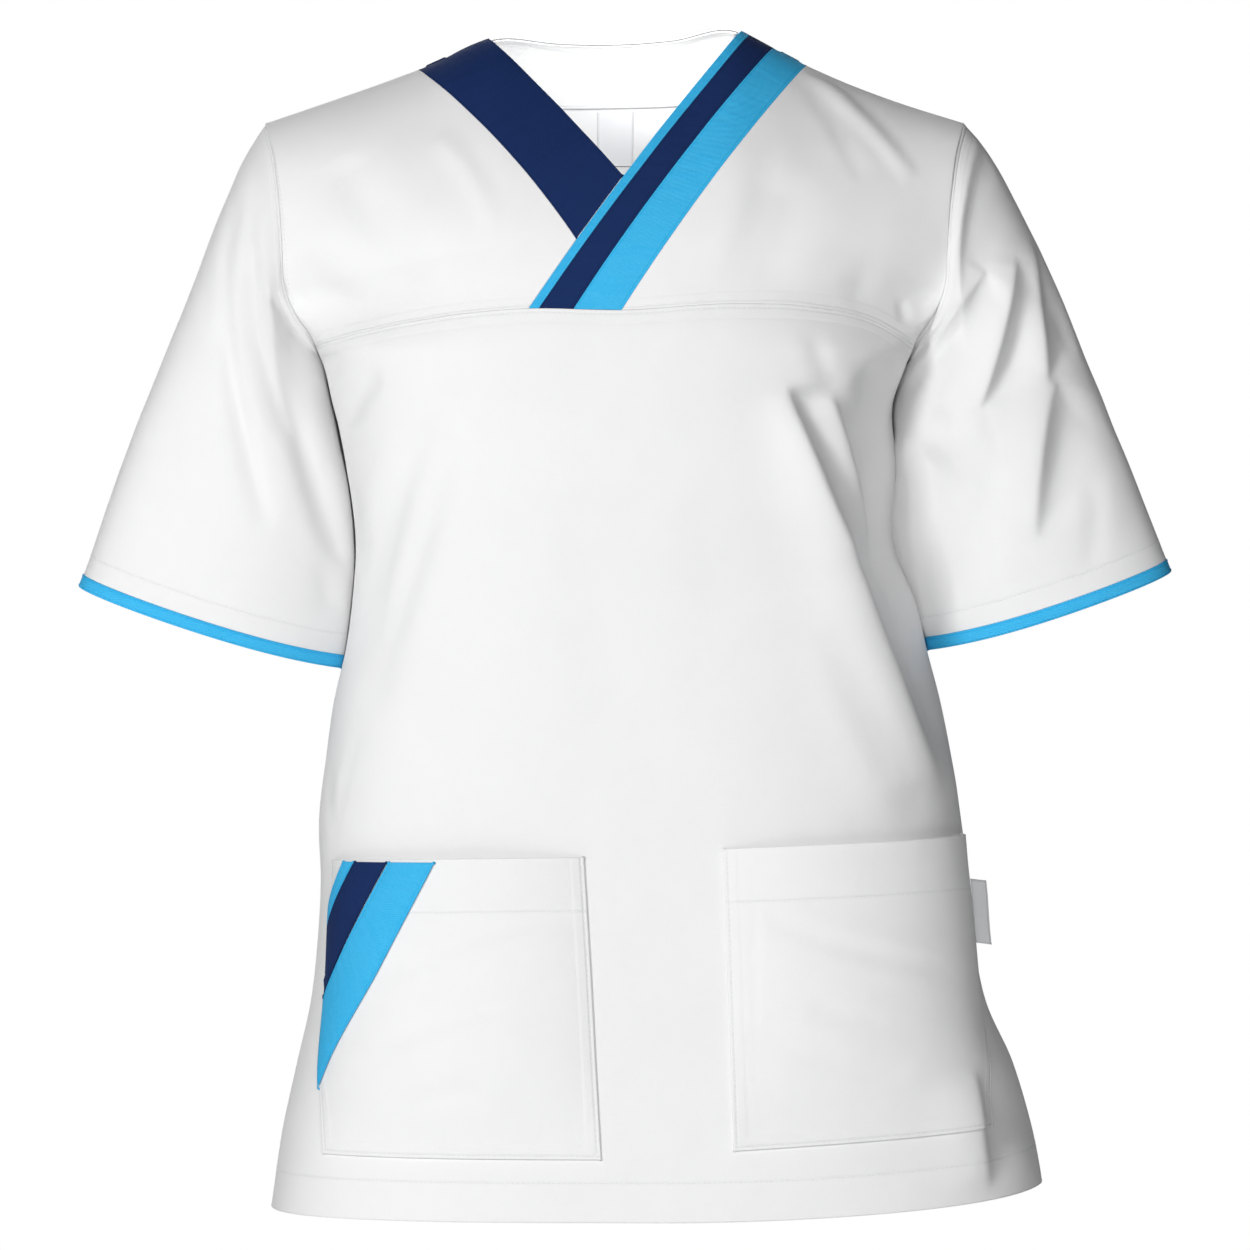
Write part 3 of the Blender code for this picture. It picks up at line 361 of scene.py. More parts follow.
def sideFirst(grids, side):  # turns grids so that this side is their first row
    if side in ("first", "last"):
        grids = [grid.swapaxes(0, 1) for grid in grids]
    return [grid[::-1] for grid in grids] if side in ("top", "last") else list(grids)


def turnedBack(grids, side):
    if side in ("top", "last"):
        grids = [grid[::-1] for grid in grids]
    return [grid.swapaxes(0, 1) for grid in grids] if side in ("first", "last") else list(grids)


def addSupport(net, side, distances):  # rows close to a side, so that it can turn crisply
    points, normals = sideFirst(net, side)
    span = np.linalg.norm(points[1] - points[0], axis=-1, keepdims=True)
    rows, directions = [points[:1]], [normals[:1]]
    for distance in distances:
        share = np.minimum(distance / np.maximum(span, 1e-9), 0.6)
        rows.append((points[0] + (points[1] - points[0]) * share)[None])
        directions.append(unit(normals[0] + (normals[1] - normals[0]) * share)[None])
    points = np.concatenate(rows + [points[1:]])
    normals = np.concatenate(directions + [normals[1:]])
    return turnedBack((points, normals), side)


def turnUnder(grids, side, depth):  # the edge rolls over and goes in
    points, normals, *fields = sideFirst(grids, side)
    outward, inward = unit(points[0] - points[1]), normals[0]
    steps = [(0.10, 0.22), (0.16, 0.6), (-0.1, depth * 0.6), (-0.6, depth)]  # out and in, mm
    rolled = [(points[0] + outward * out * mm - inward * into * mm)[None] for out, into in steps]
    grids = [np.concatenate(rolled[::-1] + [points])]
    for grid in (normals, *fields):
        grids.append(np.concatenate([grid[:1]] * len(steps) + [grid]))
    return turnedBack(grids, side)


def clothSheet(name, net, material, thickness, turned, ring=False, sewn=(), hems=()):
    for side in turned:
        net = addSupport(net, side, (0.5 * mm, 1.6 * mm))
    points, normals = net
    away = sideLengths(points)
    far = np.full(points.shape[:2], 1.0)
    seamDistance = np.minimum.reduce([far] + [away[side] for side in sewn])
    hemDistance = np.minimum.reduce([far] + [away[side] for side in hems])
    lengths = away["first"].mean(axis=0)
    heights = away["bottom"].mean(axis=1)
    u = np.broadcast_to(lengths[None, :], points.shape[:2])
    v = np.broadcast_to(heights[:, None], points.shape[:2])
    grids = [points, normals, seamDistance, hemDistance, u, v]
    for side, depth in turned.items():
        grids = turnUnder(grids, side, depth)
    points, normals, seamDistance, hemDistance, u, v = grids
    rows, columns = points.shape[:2]
    around = columns if ring else columns - 1
    low = np.arange(rows - 1)[:, None] * columns + np.arange(around)[None, :]
    nextOne = np.arange(rows - 1)[:, None] * columns + (np.arange(around) + 1)[None, :] % columns
    quads = np.stack([low, nextOne, nextOne + columns, low + columns], axis=-1).reshape(-1, 4)
    middle = rows // 2, columns // 2
    across = points[middle[0], middle[1] + 1] - points[middle]
    upward = points[middle[0] + 1, middle[1]] - points[middle]
    if np.dot(np.cross(across, upward), normals[middle]) < 0:
        quads = quads[:, ::-1]
    mesh = bpy.data.meshes.new(name)
    mesh.from_pydata(points.reshape(-1, 3).tolist(), [], quads.tolist())
    mesh.shade_smooth()
    uv = mesh.uv_layers.new(name="cloth")
    u, v = u.reshape(-1), v.reshape(-1)
    loops = quads.reshape(-1)
    loopU = u[loops].copy()
    if ring:
        wraps = (quads % columns == 0).any(axis=1) & (quads % columns == columns - 1).any(axis=1)
        last = np.repeat(wraps, 4) & (loops % columns == 0)
        loopU[last] = u.max() * columns / (columns - 1)
    uv.data.foreach_set("uv", np.stack([loopU, v[loops]], axis=-1).reshape(-1))
    for field, values in (("seamDistance", seamDistance), ("hemDistance", hemDistance)):
        layer = mesh.attributes.new(field, "FLOAT", "POINT")
        layer.data.foreach_set("value", values.reshape(-1).astype(np.float32))
    mesh.materials.append(material)
    piece = bpy.data.objects.new(name, mesh)
    bpy.context.scene.collection.objects.link(piece)
    shell = piece.modifiers.new("thickness", "SOLIDIFY")
    shell.thickness, shell.offset = thickness * mm, -1
    return piece


def lineInside(net, side, distance):  # points on the sheet at one distance from a side
    points, normals, away = sideFirst((*net, sideLengths(net[0])[side]), side)
    found = np.clip((away < distance).sum(axis=0), 1, len(away) - 1)
    here = np.arange(points.shape[1])
    start, end = away[found - 1, here], away[found, here]
    share = np.clip((distance - start) / np.maximum(end - start, 1e-9), 0, 1)[:, None]
    line = points[found - 1, here] * (1 - share) + points[found, here] * share
    return line, unit(normals[found - 1, here] * (1 - share) + normals[found, here] * share)


def armholeAngles(steps):
    return np.linspace(0, math.pi, form["armholeSteps"] * steps + 1)


def columnHeights(turns, line):
    height = np.full(np.shape(turns), form["armpit"])
    for _ in range(14):
        height = 0.5 * height + 0.5 * line(torso(turns, height, -1)[..., 0])
    return height


def hemHeight(turn):
    return form["hem"] + form["hemRiseLeft"] * np.maximum(np.sin(turn), 0) ** 2


def sideShift(turns, height):
    below = ease((form["armpit"] - height) / (form["armpit"] - form["hem"]))
    return form["sideTurn"] * below * np.maximum(turns / quarter, 0) ** 2


def atArmholes(net, rows, angles):
    points, normals = net
    for column, side in ((0, -1), (-1, 1)):
        for row, angle in zip(rows, angles):
            points[row, column, 0] -= side * form["seam"] / 2
            normals[row, column] = armholeNormal(angle, side)


def atShoulder(net, row, face):
    points, normals = net
    x = points[row, :, 0]
    step = 0.5 * mm
    slope = (shoulderHeight(x + step) - shoulderHeight(x - step)) / (2 * step)
    points[row] = stack(x, face * form["seam"] / 2, shoulderHeight(x))
    normals[row] = unit(stack(-slope, face * 0.8 + 0 * x, 1 + 0 * x))


frontPanelLook = {"columnsRight": 76, "columnsMiddle": 16, "columnsLeft": 96, "rows": 216,
                  "thickness": 0.8, "hemWidth": 23.0, "topstitch": 2.2}


def frontTurns():
    seamLeft, seamRight = crossingEdges[0][1] * mm, crossingEdges[-1][1] * mm
    turnLeft = float(turnAt(seamLeft, chestSeam(seamLeft)))
    turnRight = float(turnAt(seamRight, chestSeam(seamRight)))
    look = frontPanelLook
    return (np.linspace(-quarter, turnLeft, look["columnsRight"] + 1),
            np.linspace(turnLeft, turnRight, look["columnsMiddle"] + 1),
            np.linspace(turnRight, quarter, look["columnsLeft"] + 1))


def frontPanelNet():
    right, middle, left = frontTurns()
    turns = np.concatenate([right, middle[1:], left[1:]])
    seam = columnHeights(turns, chestSeam)
    angles = np.linspace(math.pi, math.pi * form["seamStep"] / form["armholeSteps"], 9)
    corner = armholeHeight(angles[-1])
    seam[0] = seam[-1] = corner
    steps = (armholeHeight(angles) - form["armpit"]) / (corner - form["armpit"])
    base = form["armpit"] + (seam - corner) * 0.9
    low = np.linspace(0, 1, frontPanelLook["rows"] + 1)
    heights = [(1 - share) * hemHeight(turns) + share * base for share in low]
    heights += [base + (seam - base) * share for share in steps[1:]]
    heights = np.array(heights)
    heights[-1] -= form["seam"] / 2
    net = onBody(turns - sideShift(turns, heights[:, -1:]), heights, -1)
    net[0][..., 1] = np.minimum(net[0][..., 1], -form["seam"] / 2)
    rows = range(frontPanelLook["rows"], len(heights))
    atArmholes(net, rows, angles)
    return net


backPanelLook = {"columnSteps": 5, "rows": 120, "armholeSteps": 6, "thickness": 0.8,
                 "sideColumns": 8, "middleColumns": 10}


def backPanelNet():
    look = backPanelLook
    neck = float(turnAt(form["neckHalf"], 0.0))
    neckStart = look["sideColumns"] * look["columnSteps"]
    neckSteps = look["middleColumns"] * look["columnSteps"]
    side = np.linspace(-quarter, -neck, neckStart + 1)
    middle = np.linspace(-neck, neck, neckSteps + 1)
    turns = np.concatenate([side, middle[1:], -side[::-1][1:]])
    angles = armholeAngles(look["armholeSteps"])[::-1]
    steps = (1 + np.cos(angles)) / 2
    top = columnHeights(turns, shoulderHeight)
    top[0] = top[-1] = form["shoulderTip"]
    low = np.linspace(0, 1, look["rows"] + 1)
    heights = [(1 - share) * hemHeight(turns) + share * form["armpit"] for share in low]
    heights += [form["armpit"] + (top - form["armpit"]) * share for share in steps[1:]]
    heights = np.array(heights)
    turned = turns + sideShift(turns, heights[:, -1:])
    points, normals = onBody(np.minimum(turned, quarter), heights, 1)
    points[..., 1] = np.maximum(points[..., 1], form["seam"] / 2)
    past = turned > quarter + 1e-6
    seamStep = form["seam"] / (60 * mm)
    frontTurn = np.where(past, 2 * quarter - turned + seamStep, quarter)
    frontPoints, frontNormals = onBody(frontTurn, heights, -1)
    points[past], normals[past] = frontPoints[past], frontNormals[past]
    rows = range(look["rows"], len(heights))
    atArmholes((points, normals), rows, -angles)
    inNeck = slice(neckStart + 1, neckStart + neckSteps)
    neckline = points[-1, inNeck].copy(), normals[-1, inNeck].copy()
    atShoulder((points, normals), -1, 1)
    points[-1, inNeck], normals[-1, inNeck] = neckline
    return points, normals


def bowed(start, end, bow, share):
    away = np.array([end[1] - start[1], start[0] - end[0]])
    away = away / np.hypot(*away)
    lift = 4 * bow * mm * share * (1 - share)
    return (start[0] + (end[0] - start[0]) * share + away[0] * lift,
            start[1] + (end[1] - start[1]) * share + away[1] * lift)


def crossingEdge(edge, share):
    shoulder, seam, bow = edge
    top = (shoulder * mm, float(shoulderHeight(shoulder * mm)))
    return bowed(top, (seam * mm, float(chestSeam(seam * mm))), bow, share)


def plainEdge(edge, share):
    shoulder, meets, bow = edge
    top = (shoulder * mm, float(shoulderHeight(shoulder * mm)))
    return bowed(top, crossingEdge(crossingEdges[0], meets), -bow, share)


bandLook = {"stepsAlong": 8, "piping": 3, "navy": 8, "blue": 12, "plain": 16, "thickness": 0.9}


def bandAngles():
    return np.linspace(0, math.pi * form["seamStep"] / form["armholeSteps"],
                       form["seamStep"] * bandLook["stepsAlong"] + 1)


def bandShares():
    up = (1 + np.cos(bandAngles())) / 2
    return (1 - up) / (1 - up[-1])


def bandNet(first, second, columns):
    start, end = np.array(first).T, np.array(second).T
    inward = unit(end - start) * form["seam"] / 2
    start, end = start + inward, end - inward
    across = np.linspace(0, 1, columns + 1)
    flat = start[:, None] + (end - start)[:, None] * across[None, :, None]
    net = onFront(flat[..., 0], flat[..., 1])
    atShoulder(net, 0, -1)
    return net


def yokeNet(side):
    right, left = frontTurns()[::2]
    turns = right if side < 0 else left[::-1]
    seam = columnHeights(turns, chestSeam)
    angles = bandAngles()[::-1]
    seam[0] = armholeHeight(angles[0])
    bottom = torso(turns, seam, -1)[:, [0, 2]]
    ringHeight = armholeHeight(angles)
    edge = bodyLeft if side < 0 else bodyRight
    outer = np.stack([edge(ringHeight), ringHeight], axis=-1)
    share = bandShares()[::-1]
    if side < 0:
        corner = bandShares()[form["plainStep"] * bandLook["stepsAlong"]]
        meets = plainEdges[0][1]
        past = np.clip((share - corner) / (1 - corner), 0, 1)
        low = crossingEdge(crossingEdges[0], meets + (1 - meets) * past)
        high = plainEdge(plainEdges[0], np.clip(share / corner, 0, 1))
        inner = np.where(share > corner, low, high).T
        topEnd = plainEdges[0][0] * mm
    else:
        inner = np.stack(crossingEdge(crossingEdges[-1], share), axis=-1)
        topEnd = crossingEdges[-1][0] * mm
    topX = np.linspace(edge(form["shoulderTip"]), topEnd, len(turns))
    top = np.stack([topX, shoulderHeight(topX)], axis=-1)
    across = np.linspace(0, 1, len(turns))[None, :, None]
    up = 1 - share[:, None, None]
    corners = ((1 - up) * (1 - across) * bottom[0] + (1 - up) * across * bottom[-1]
               + up * (1 - across) * top[0] + up * across * top[-1])
    flat = (1 - up) * bottom[None] + up * top[None]
    flat = flat + (1 - across) * outer[:, None] + across * inner[:, None] - corners
    flat[0, :, 1] += form["seam"] / 2
    flat[:, -1, 0] += side * form["seam"] * 0.6
    points, normals = onFront(flat[..., 0], flat[..., 1])
    for row, angle in enumerate(angles):
        reach = -form["armholeDepth"] * math.sin(angle)
        points[row, 0] = (outer[row, 0] - side * form["seam"] / 2, reach, outer[row, 1])
        normals[row, 0] = armholeNormal(angle, side)
    atShoulder((points, normals), -1, -1)
    return points, normals


sleeveLook = {"rows": 150, "stepsRound": 8, "thickness": 0.8, "bandWidth": 12.0,
              "bindingRows": 5, "bindingWidth": 8, "bindingThickness": 1.4,
              "leanBack": 32, "tuckIn": 13, "clear": 1.0,
              "clearStart": 16, "bow": 4.5, "uneven": 0.4}


def besideBody(x, y, height, side):  # clears the body, before creases are added to the sleeve
    left, right = bodyLeft(height), bodyRight(height)
    deep = np.where(y < 0, bodyFront(height), bodyBack(height))
    power = form["roundness"]
    narrower = (1 - np.clip(np.abs(y) / deep, 0, 1) ** power) ** (1 / power)
    below = ease((form["armpit"] - height) / (sleeveLook["clearStart"] * mm))
    wall = side * (left + right) / 2 + (right - left) / 2 * narrower
    limit = wall + sleeveLook["clear"] * mm
    pushed = (x + limit + np.sqrt((x - limit) ** 2 + mm ** 2)) / 2
    return x + (pushed - x) * below


def sleeveShape(rows, side):
    shares = [row[0] for row in rows]
    outer, drop, inner, innerDrop, depth = [
        smoothCurve(shares, [row[k] * mm for row in rows]) for k in range(1, 6)]

    def at(share, angle):
        part = (1 - np.cos(angle)) / 2
        x = outer(share) + (inner(share) - outer(share)) * part
        height = drop(share) + (innerDrop(share) - drop(share)) * part
        chordX = outer(0.0) + (inner(0.0) - outer(0.0)) * part
        x = x + (bodyRight(armholeHeight(angle)) - chordX) * (1 - ease(share * 2.2))
        slopeX, slopeZ = inner(share) - outer(share), innerDrop(share) - drop(share)
        size = np.hypot(slopeX, slopeZ)
        bow = sleeveLook["bow"] * mm * ease(share) * np.sin(angle)
        x, height = x - slopeZ / size * bow, height + slopeX / size * bow
        tuck = part ** 6 * ease(share / 0.08)
        squarer = np.abs(np.sin(angle)) ** (1 - 0.3 * ease(share / 0.12))
        y = sleeveLook["leanBack"] * mm * tuck - depth(share) * np.sign(np.sin(angle)) * squarer
        x = besideBody(x - sleeveLook["tuckIn"] * mm * tuck, y, height, side)
        return stack(side * x, y, height)

    return at


def sleeveNet(rows, side, folds, share, angle):
    at = sleeveShape(rows, side)
    step = 0.003
    roundAbout = at(share, angle + step) - at(share, angle - step)
    down = at(share + step, angle) - at(np.maximum(share - step, 0), angle)
    normals = unit(np.cross(roundAbout, down)) * side
    mix = np.expand_dims(ease(share / 0.12), -1)
    normals = unit(armholeNormal(angle, side) * (1 - mix) + normals * mix)
    points = at(share, angle)
    fade = ease(share / 0.035) * ease((1 - share) / 0.06)
    toward = foldHeight(points[..., 0], points[..., 2], folds)
    behind = foldHeight(points[..., 0] + side * 6 * mm, points[..., 2] - 9 * mm, folds)
    move = np.where(np.sin(angle) > 0, toward, behind) * ease(np.abs(np.sin(angle)) * 2)
    move = move + clothLife(points, sleeveLook["uneven"] * mm)
    forward = unit(normals * np.array([0.35, 1, 0.35]))
    return points + forward * np.expand_dims(move * fade, -1), normals


def sleeveNets(rows, side, folds):
    angles = armholeAngles(sleeveLook["stepsRound"])
    angles = np.concatenate([angles, 2 * math.pi - angles[::-1][1:-1]])
    last, before = rows[-1], rows[-2]
    outer = math.hypot(last[1] - before[1], last[2] - before[2])
    inner = math.hypot(last[3] - before[3], last[4] - before[4])
    mix = (1 - np.cos(angles)) / 2
    end = 1 - sleeveLook["bindingWidth"] * (last[0] - before[0]) / (outer + (inner - outer) * mix)
    share = np.linspace(0, 1, sleeveLook["rows"] + 1)[:, None] * end[None, :]
    points, normals = sleeveNet(rows, side, folds, share, np.tile(angles, (len(share), 1)))
    points[0, :, 0] += side * form["seam"] / 2
    start = end + form["seam"] / (sleeveLook["bindingWidth"] * mm) * (1 - end)
    share = start + (1 - start) * np.linspace(0, 1, sleeveLook["bindingRows"])[:, None]
    binding = sleeveNet(rows, side, folds, share, np.tile(angles, (len(share), 1)))
    return (points, normals), (binding[0] + binding[1] * 0.3 * mm, binding[1])


pocketLook = {"columns": 80, "rows": 84, "thickness": 0.8, "swell": 10, "hemWidth": 31.0,
              "edgeStitch": 2.0, "tapeThickness": 0.7, "flatness": 2.6}


def pocketEdges(rows):
    share = np.linspace(0, 1, len(rows))
    return [smoothCurve(share, [row[k] * mm for row in rows]) for k in range(4)]


def pocketSurface(rows, across, up, folds):
    innerX, innerZ, outerX, outerZ = pocketEdges(rows)
    start, end = turnAt(innerX(up), innerZ(up)), turnAt(outerX(up), outerZ(up))
    turn = start + (end - start) * across
    height = innerZ(up) + (outerZ(up) - innerZ(up)) * across
    full = 1 - np.abs(2 * across - 1) ** pocketLook["flatness"]
    full = full * ease(up * 2.5) * (0.75 + 0.25 * up)
    points = torso(turn, height, -1)
    own = foldHeight(points[..., 0], points[..., 2], folds) * ease(full * 3)
    swell = pocketLook["swell"] * mm * full + own
    return onBody(turn, height, -1, form["laidOn"] + form["cloth"] + swell)


def pocketNet(rows, folds):
    across = np.linspace(0, 1, pocketLook["columns"] + 1)[None, :]
    up = np.linspace(0, 1, pocketLook["rows"] + 1)[:, None]
    across, up = np.broadcast_arrays(across, up)
    return pocketSurface(rows, across, up, folds)


def tapeNets():
    innerX, innerZ, outerX, outerZ = pocketEdges(pocketRightRows)
    high, low = float(outerZ(1.0)) - form["seam"], float(outerZ(0.0))
    nets = []
    for first, second in zip(tapeEdges, tapeEdges[1:]):
        ends = []
        for alongTop, downSide in (first, second):
            down = downSide * mm
            sideX = float(outerX((down - low) / (high - low))) + form["seam"]
            ends.append((np.array([alongTop * mm, high]), np.array([sideX, down])))
        along = np.linspace(0, 1, 49)[:, None, None]
        width = np.linspace(0.02, 0.98, 9)[None, :, None]
        place = ((1 - width) * ((1 - along) * ends[0][0] + along * ends[0][1])
                 + width * ((1 - along) * ends[1][0] + along * ends[1][1]))
        x, height = place[..., 0], place[..., 1]
        across = np.full(x.shape, 0.5)
        for _ in range(6):
            bottom = innerZ(0.0) + (outerZ(0.0) - innerZ(0.0)) * across
            top = innerZ(1.0) + (outerZ(1.0) - innerZ(1.0)) * across
            up = np.clip((height - bottom) / (top - bottom), 0, 1)
            start, end = turnAt(innerX(up), innerZ(up)), turnAt(outerX(up), outerZ(up))
            across = np.clip((turnAt(x, height) - start) / (end - start), 0, 1)
        points, normals = pocketSurface(pocketRightRows, across, up, pocketRightFolds)
        nets.append((points + normals * (form["laidOn"] + form["trim"]), normals))
    return nets


neckLook = {"facingRows": 4, "facingInset": 0.15, "facingThickness": 0.7, "facingAway": 0.3,
            "labelHalf": 0.75, "labelRows": (1.75, 0.06), "labelThickness": 0.5}


def insideBack(net, rows, columns, inset):
    points, normals = net
    row, column = np.broadcast_arrays(rows, columns)
    low, start = np.floor(row).astype(int), np.floor(column).astype(int)
    low, start = np.minimum(low, points.shape[0] - 2), np.minimum(start, points.shape[1] - 2)
    up, aside = (row - low)[..., None], (column - start)[..., None]

    def blend(values):
        lower = values[low, start] * (1 - aside) + values[low, start + 1] * aside
        upper = values[low + 1, start] * (1 - aside) + values[low + 1, start + 1] * aside
        return lower * (1 - up) + upper * up

    inward = -unit(blend(normals))
    return blend(points) + inward * inset, inward


def neckNets(backNet):
    columnStep, rowStep = backPanelLook["columnSteps"], backPanelLook["armholeSteps"]
    top = backNet[0].shape[0] - 1
    start = backPanelLook["sideColumns"]
    end = start + backPanelLook["middleColumns"]
    first = (start + neckLook["facingInset"]) * columnStep
    last = (end - neckLook["facingInset"]) * columnStep
    columns = np.linspace(first, last, 93)[None, :]
    rows = np.linspace(top - neckLook["facingRows"] * rowStep, top - 0.2 * rowStep, 47)[:, None]
    inset = form["cloth"] + form["laidOn"]
    facing = insideBack(backNet, rows, columns, inset + neckLook["facingAway"] * mm)
    middle = (start + end) // 2 * columnStep
    half = neckLook["labelHalf"] * columnStep
    columns = np.linspace(middle - half, middle + half, 13)[None, :]
    rows = top - (neckLook["facingRows"] + np.linspace(*neckLook["labelRows"], 21)) * rowStep
    return facing, insideBack(backNet, rows[:, None], columns, inset)


sideLabelLook = {"bottom": -545, "top": -507, "start": 0.6, "reach": 10, "rise": 0.12,
                 "bend": 1.2, "thickness": 0.6}


def sideLabelNet():
    look = sideLabelLook
    height = np.linspace(look["bottom"] * mm, look["top"] * mm, 21)
    turn = quarter - sideShift(quarter, height)
    start = torso(turn, height, -1)
    out = unit(torsoNormal(turn, height, -1) * np.array([1, 1, 0]))
    forward = np.stack([out[:, 1], -out[:, 0], 0 * height], axis=-1)
    reach = np.linspace(look["start"] * mm, look["reach"] * mm, 8)
    points = start[:, None] + out[:, None] * reach[None, :, None]
    points[..., 2] -= look["rise"] * reach
    normals = np.repeat(forward[:, None], len(reach), axis=1)
    bend = look["bend"] * mm * np.sin(np.linspace(0, math.pi, 21))[:, None, None]
    return points + normals * (0.5 * mm + bend * (reach / reach[-1])[None, :, None] ** 2), normals


class Wire:  # a socket of a material, with arithmetic
    def __init__(self, tree, socket=None):
        self.tree, self.socket = tree, socket

    def add(self, kind, settings=None, sockets=None, output=0):
        node = self.tree.nodes.new(kind)
        for key, value in (settings or {}).items():
            setattr(node, key, value)
        for key, value in (sockets or {}).items():
            if isinstance(value, Wire):
                self.tree.links.new(value.socket, node.inputs[key])
            else:
                node.inputs[key].default_value = value
        return Wire(self.tree, node.outputs[output])

    def math(self, operation, *values):
        return self.add("ShaderNodeMath", {"operation": operation}, dict(enumerate(values)))

    def __add__(self, other): return self.math("ADD", self, other)
    def __radd__(self, other): return self.math("ADD", other, self)
    def __sub__(self, other): return self.math("SUBTRACT", self, other)
    def __rsub__(self, other): return self.math("SUBTRACT", other, self)
    def __mul__(self, other): return self.math("MULTIPLY", self, other)
    def __rmul__(self, other): return self.math("MULTIPLY", other, self)
    def __truediv__(self, other): return self.math("DIVIDE", self, other)
    def sine(self): return self.math("SINE", self)

    def bell(self, middle, width):  # 1 at the middle, falling to 0 on both sides
        away = (self - middle) / width
        return self.math("EXPONENT", away * away * -1.0)

    def step(self, start, end):
        return self.add("ShaderNodeMapRange", {"interpolation_type": "SMOOTHSTEP"},
                        {0: self, 1: start, 2: end, 3: 0.0, 4: 1.0})

    def part(self, index):  # one coordinate
        return self.add("ShaderNodeSeparateXYZ", None, {0: self}, output=index)

    def noise(self, scale, detail=2.0, roughness=0.5):
        return self.add("ShaderNodeTexNoise", None, {"Vector": self, "Scale": scale,
                                                     "Detail": detail, "Roughness": roughness})

    def drawnOut(self, scale, detail=1.0):  # noise that is longer one way than the other
        mapped = self.add("ShaderNodeMapping", None, {0: self, "Scale": scale})
        return mapped.noise(1.0, detail)

    def distance(self, field):  # millimetres on the cloth from its seams or its hem
        return self.add("ShaderNodeAttribute", {"attribute_name": field}, output=2) * 1000.0


def startMaterial(name, roughness, sheen):
    material = bpy.data.materials.new(name)
    material.use_nodes = True
    tree = material.node_tree
    shader = tree.nodes["Principled BSDF"]
    shader.inputs["Roughness"].default_value = roughness
    shader.inputs["Sheen Weight"].default_value = sheen
    shader.inputs["Sheen Roughness"].default_value = 0.5
    shader.inputs["Specular IOR Level"].default_value = 0.25
    wire = Wire(tree)
    place = wire.add("ShaderNodeTexCoord", output=3)
    cloth = wire.add("ShaderNodeUVMap", {"uv_map": "cloth"})
    return material, wire, shader, place, cloth


def finishMaterial(wire, shader, tone, colour, deep, height):
    tone = wire.add("ShaderNodeClamp", None, {0: tone})
    mixed = wire.add("ShaderNodeMix", {"data_type": "RGBA"}, {0: tone, 6: colour, 7: deep},
                     output=2)
    wire.tree.links.new(mixed.socket, shader.inputs["Base Color"])
    bump = wire.add("ShaderNodeBump", None, {"Strength": 1.0, "Distance": mm, "Height": height})
    wire.tree.links.new(bump.socket, shader.inputs["Normal"])


whiteLook = {"colour": (0.868, 0.866, 0.866, 1), "shade": (0.812, 0.812, 0.816, 1),
             "roughness": 0.8, "sheen": 0.12, "threads": 0.42, "weave": 0.035, "grain": 0.05,
             "crumple": 0.30, "pucker": 0.45, "stitchGroove": 0.30, "seamWidth": 9.0,
             "hemWidth": 6.0, "allowance": 0.25}
whiteScales = {"yarn": 2600, "yarnAlong": 120, "grain": 1300.0, "crumple": 38.0, "fine": 120.0,
               "ripple": 95.0}


def whiteCloth(name, topstitch, hem, puckers):
    look, scales = whiteLook, whiteScales
    material, wire, shader, place, cloth = startMaterial(name, look["roughness"], look["sheen"])
    turns = 2 * math.pi / (look["threads"] * mm)
    weave = (cloth.part(0) * turns).sine() * (cloth.part(1) * turns).sine()
    yarns = (cloth.drawnOut((scales["yarn"], scales["yarnAlong"], 1))
             + cloth.drawnOut((scales["yarnAlong"], scales["yarn"], 1)))
    grain = place.noise(scales["grain"])
    crumple = place.noise(scales["crumple"], 3.0, 0.45)
    fine = place.noise(scales["fine"])
    seam, hemAway = cloth.distance("seamDistance"), cloth.distance("hemDistance")
    ripple = place.noise(scales["ripple"], 1.0) - 0.5
    nearSeam = seam.bell(0.0, look["seamWidth"]) + hemAway.bell(hem, look["hemWidth"])
    # the stitch grooves: sunk into the bump, and painted darker as shade in the colour
    grooveAndShade = seam.bell(topstitch, 0.7) + hemAway.bell(hem, 0.8)
    allowance = (seam.step(look["seamWidth"], 6.5) * look["allowance"]
                 + hemAway.step(hem + 0.6, hem - 0.4) * look["allowance"])
    height = (weave * look["weave"] + yarns * look["grain"] + grain * 0.03
              + crumple * look["crumple"] + fine * 0.05
              + ripple * nearSeam * look["pucker"] * puckers
              - grooveAndShade * look["stitchGroove"] + allowance)
    tone = (grain - 0.5) * 0.35 + (yarns - 1.0) * 0.4 + (crumple - 0.5) * 0.4 + 0.3
    # the stitch grooves also darken the colour: painted shade along the stitching
    finishMaterial(wire, shader, tone + grooveAndShade * 0.35, look["colour"], look["shade"], height)
    return material


twillLooks = {  # colour, deep colour, rib and its relief, roughness
    "navyTwill": ((0.005, 0.027, 0.125, 1), (0.003, 0.017, 0.085, 1), 0.9, 0.06, 0.85),
    "lightBlueTwill": ((0.075, 0.54, 0.90, 1), (0.015, 0.44, 0.84, 1), 1.1, 0.08, 0.75),
}
twillShape = {"slant": 0.45, "threads": 0.4, "grain": 1100.0, "creases": (30, 170, 1),
              "topstitch": 1.4}


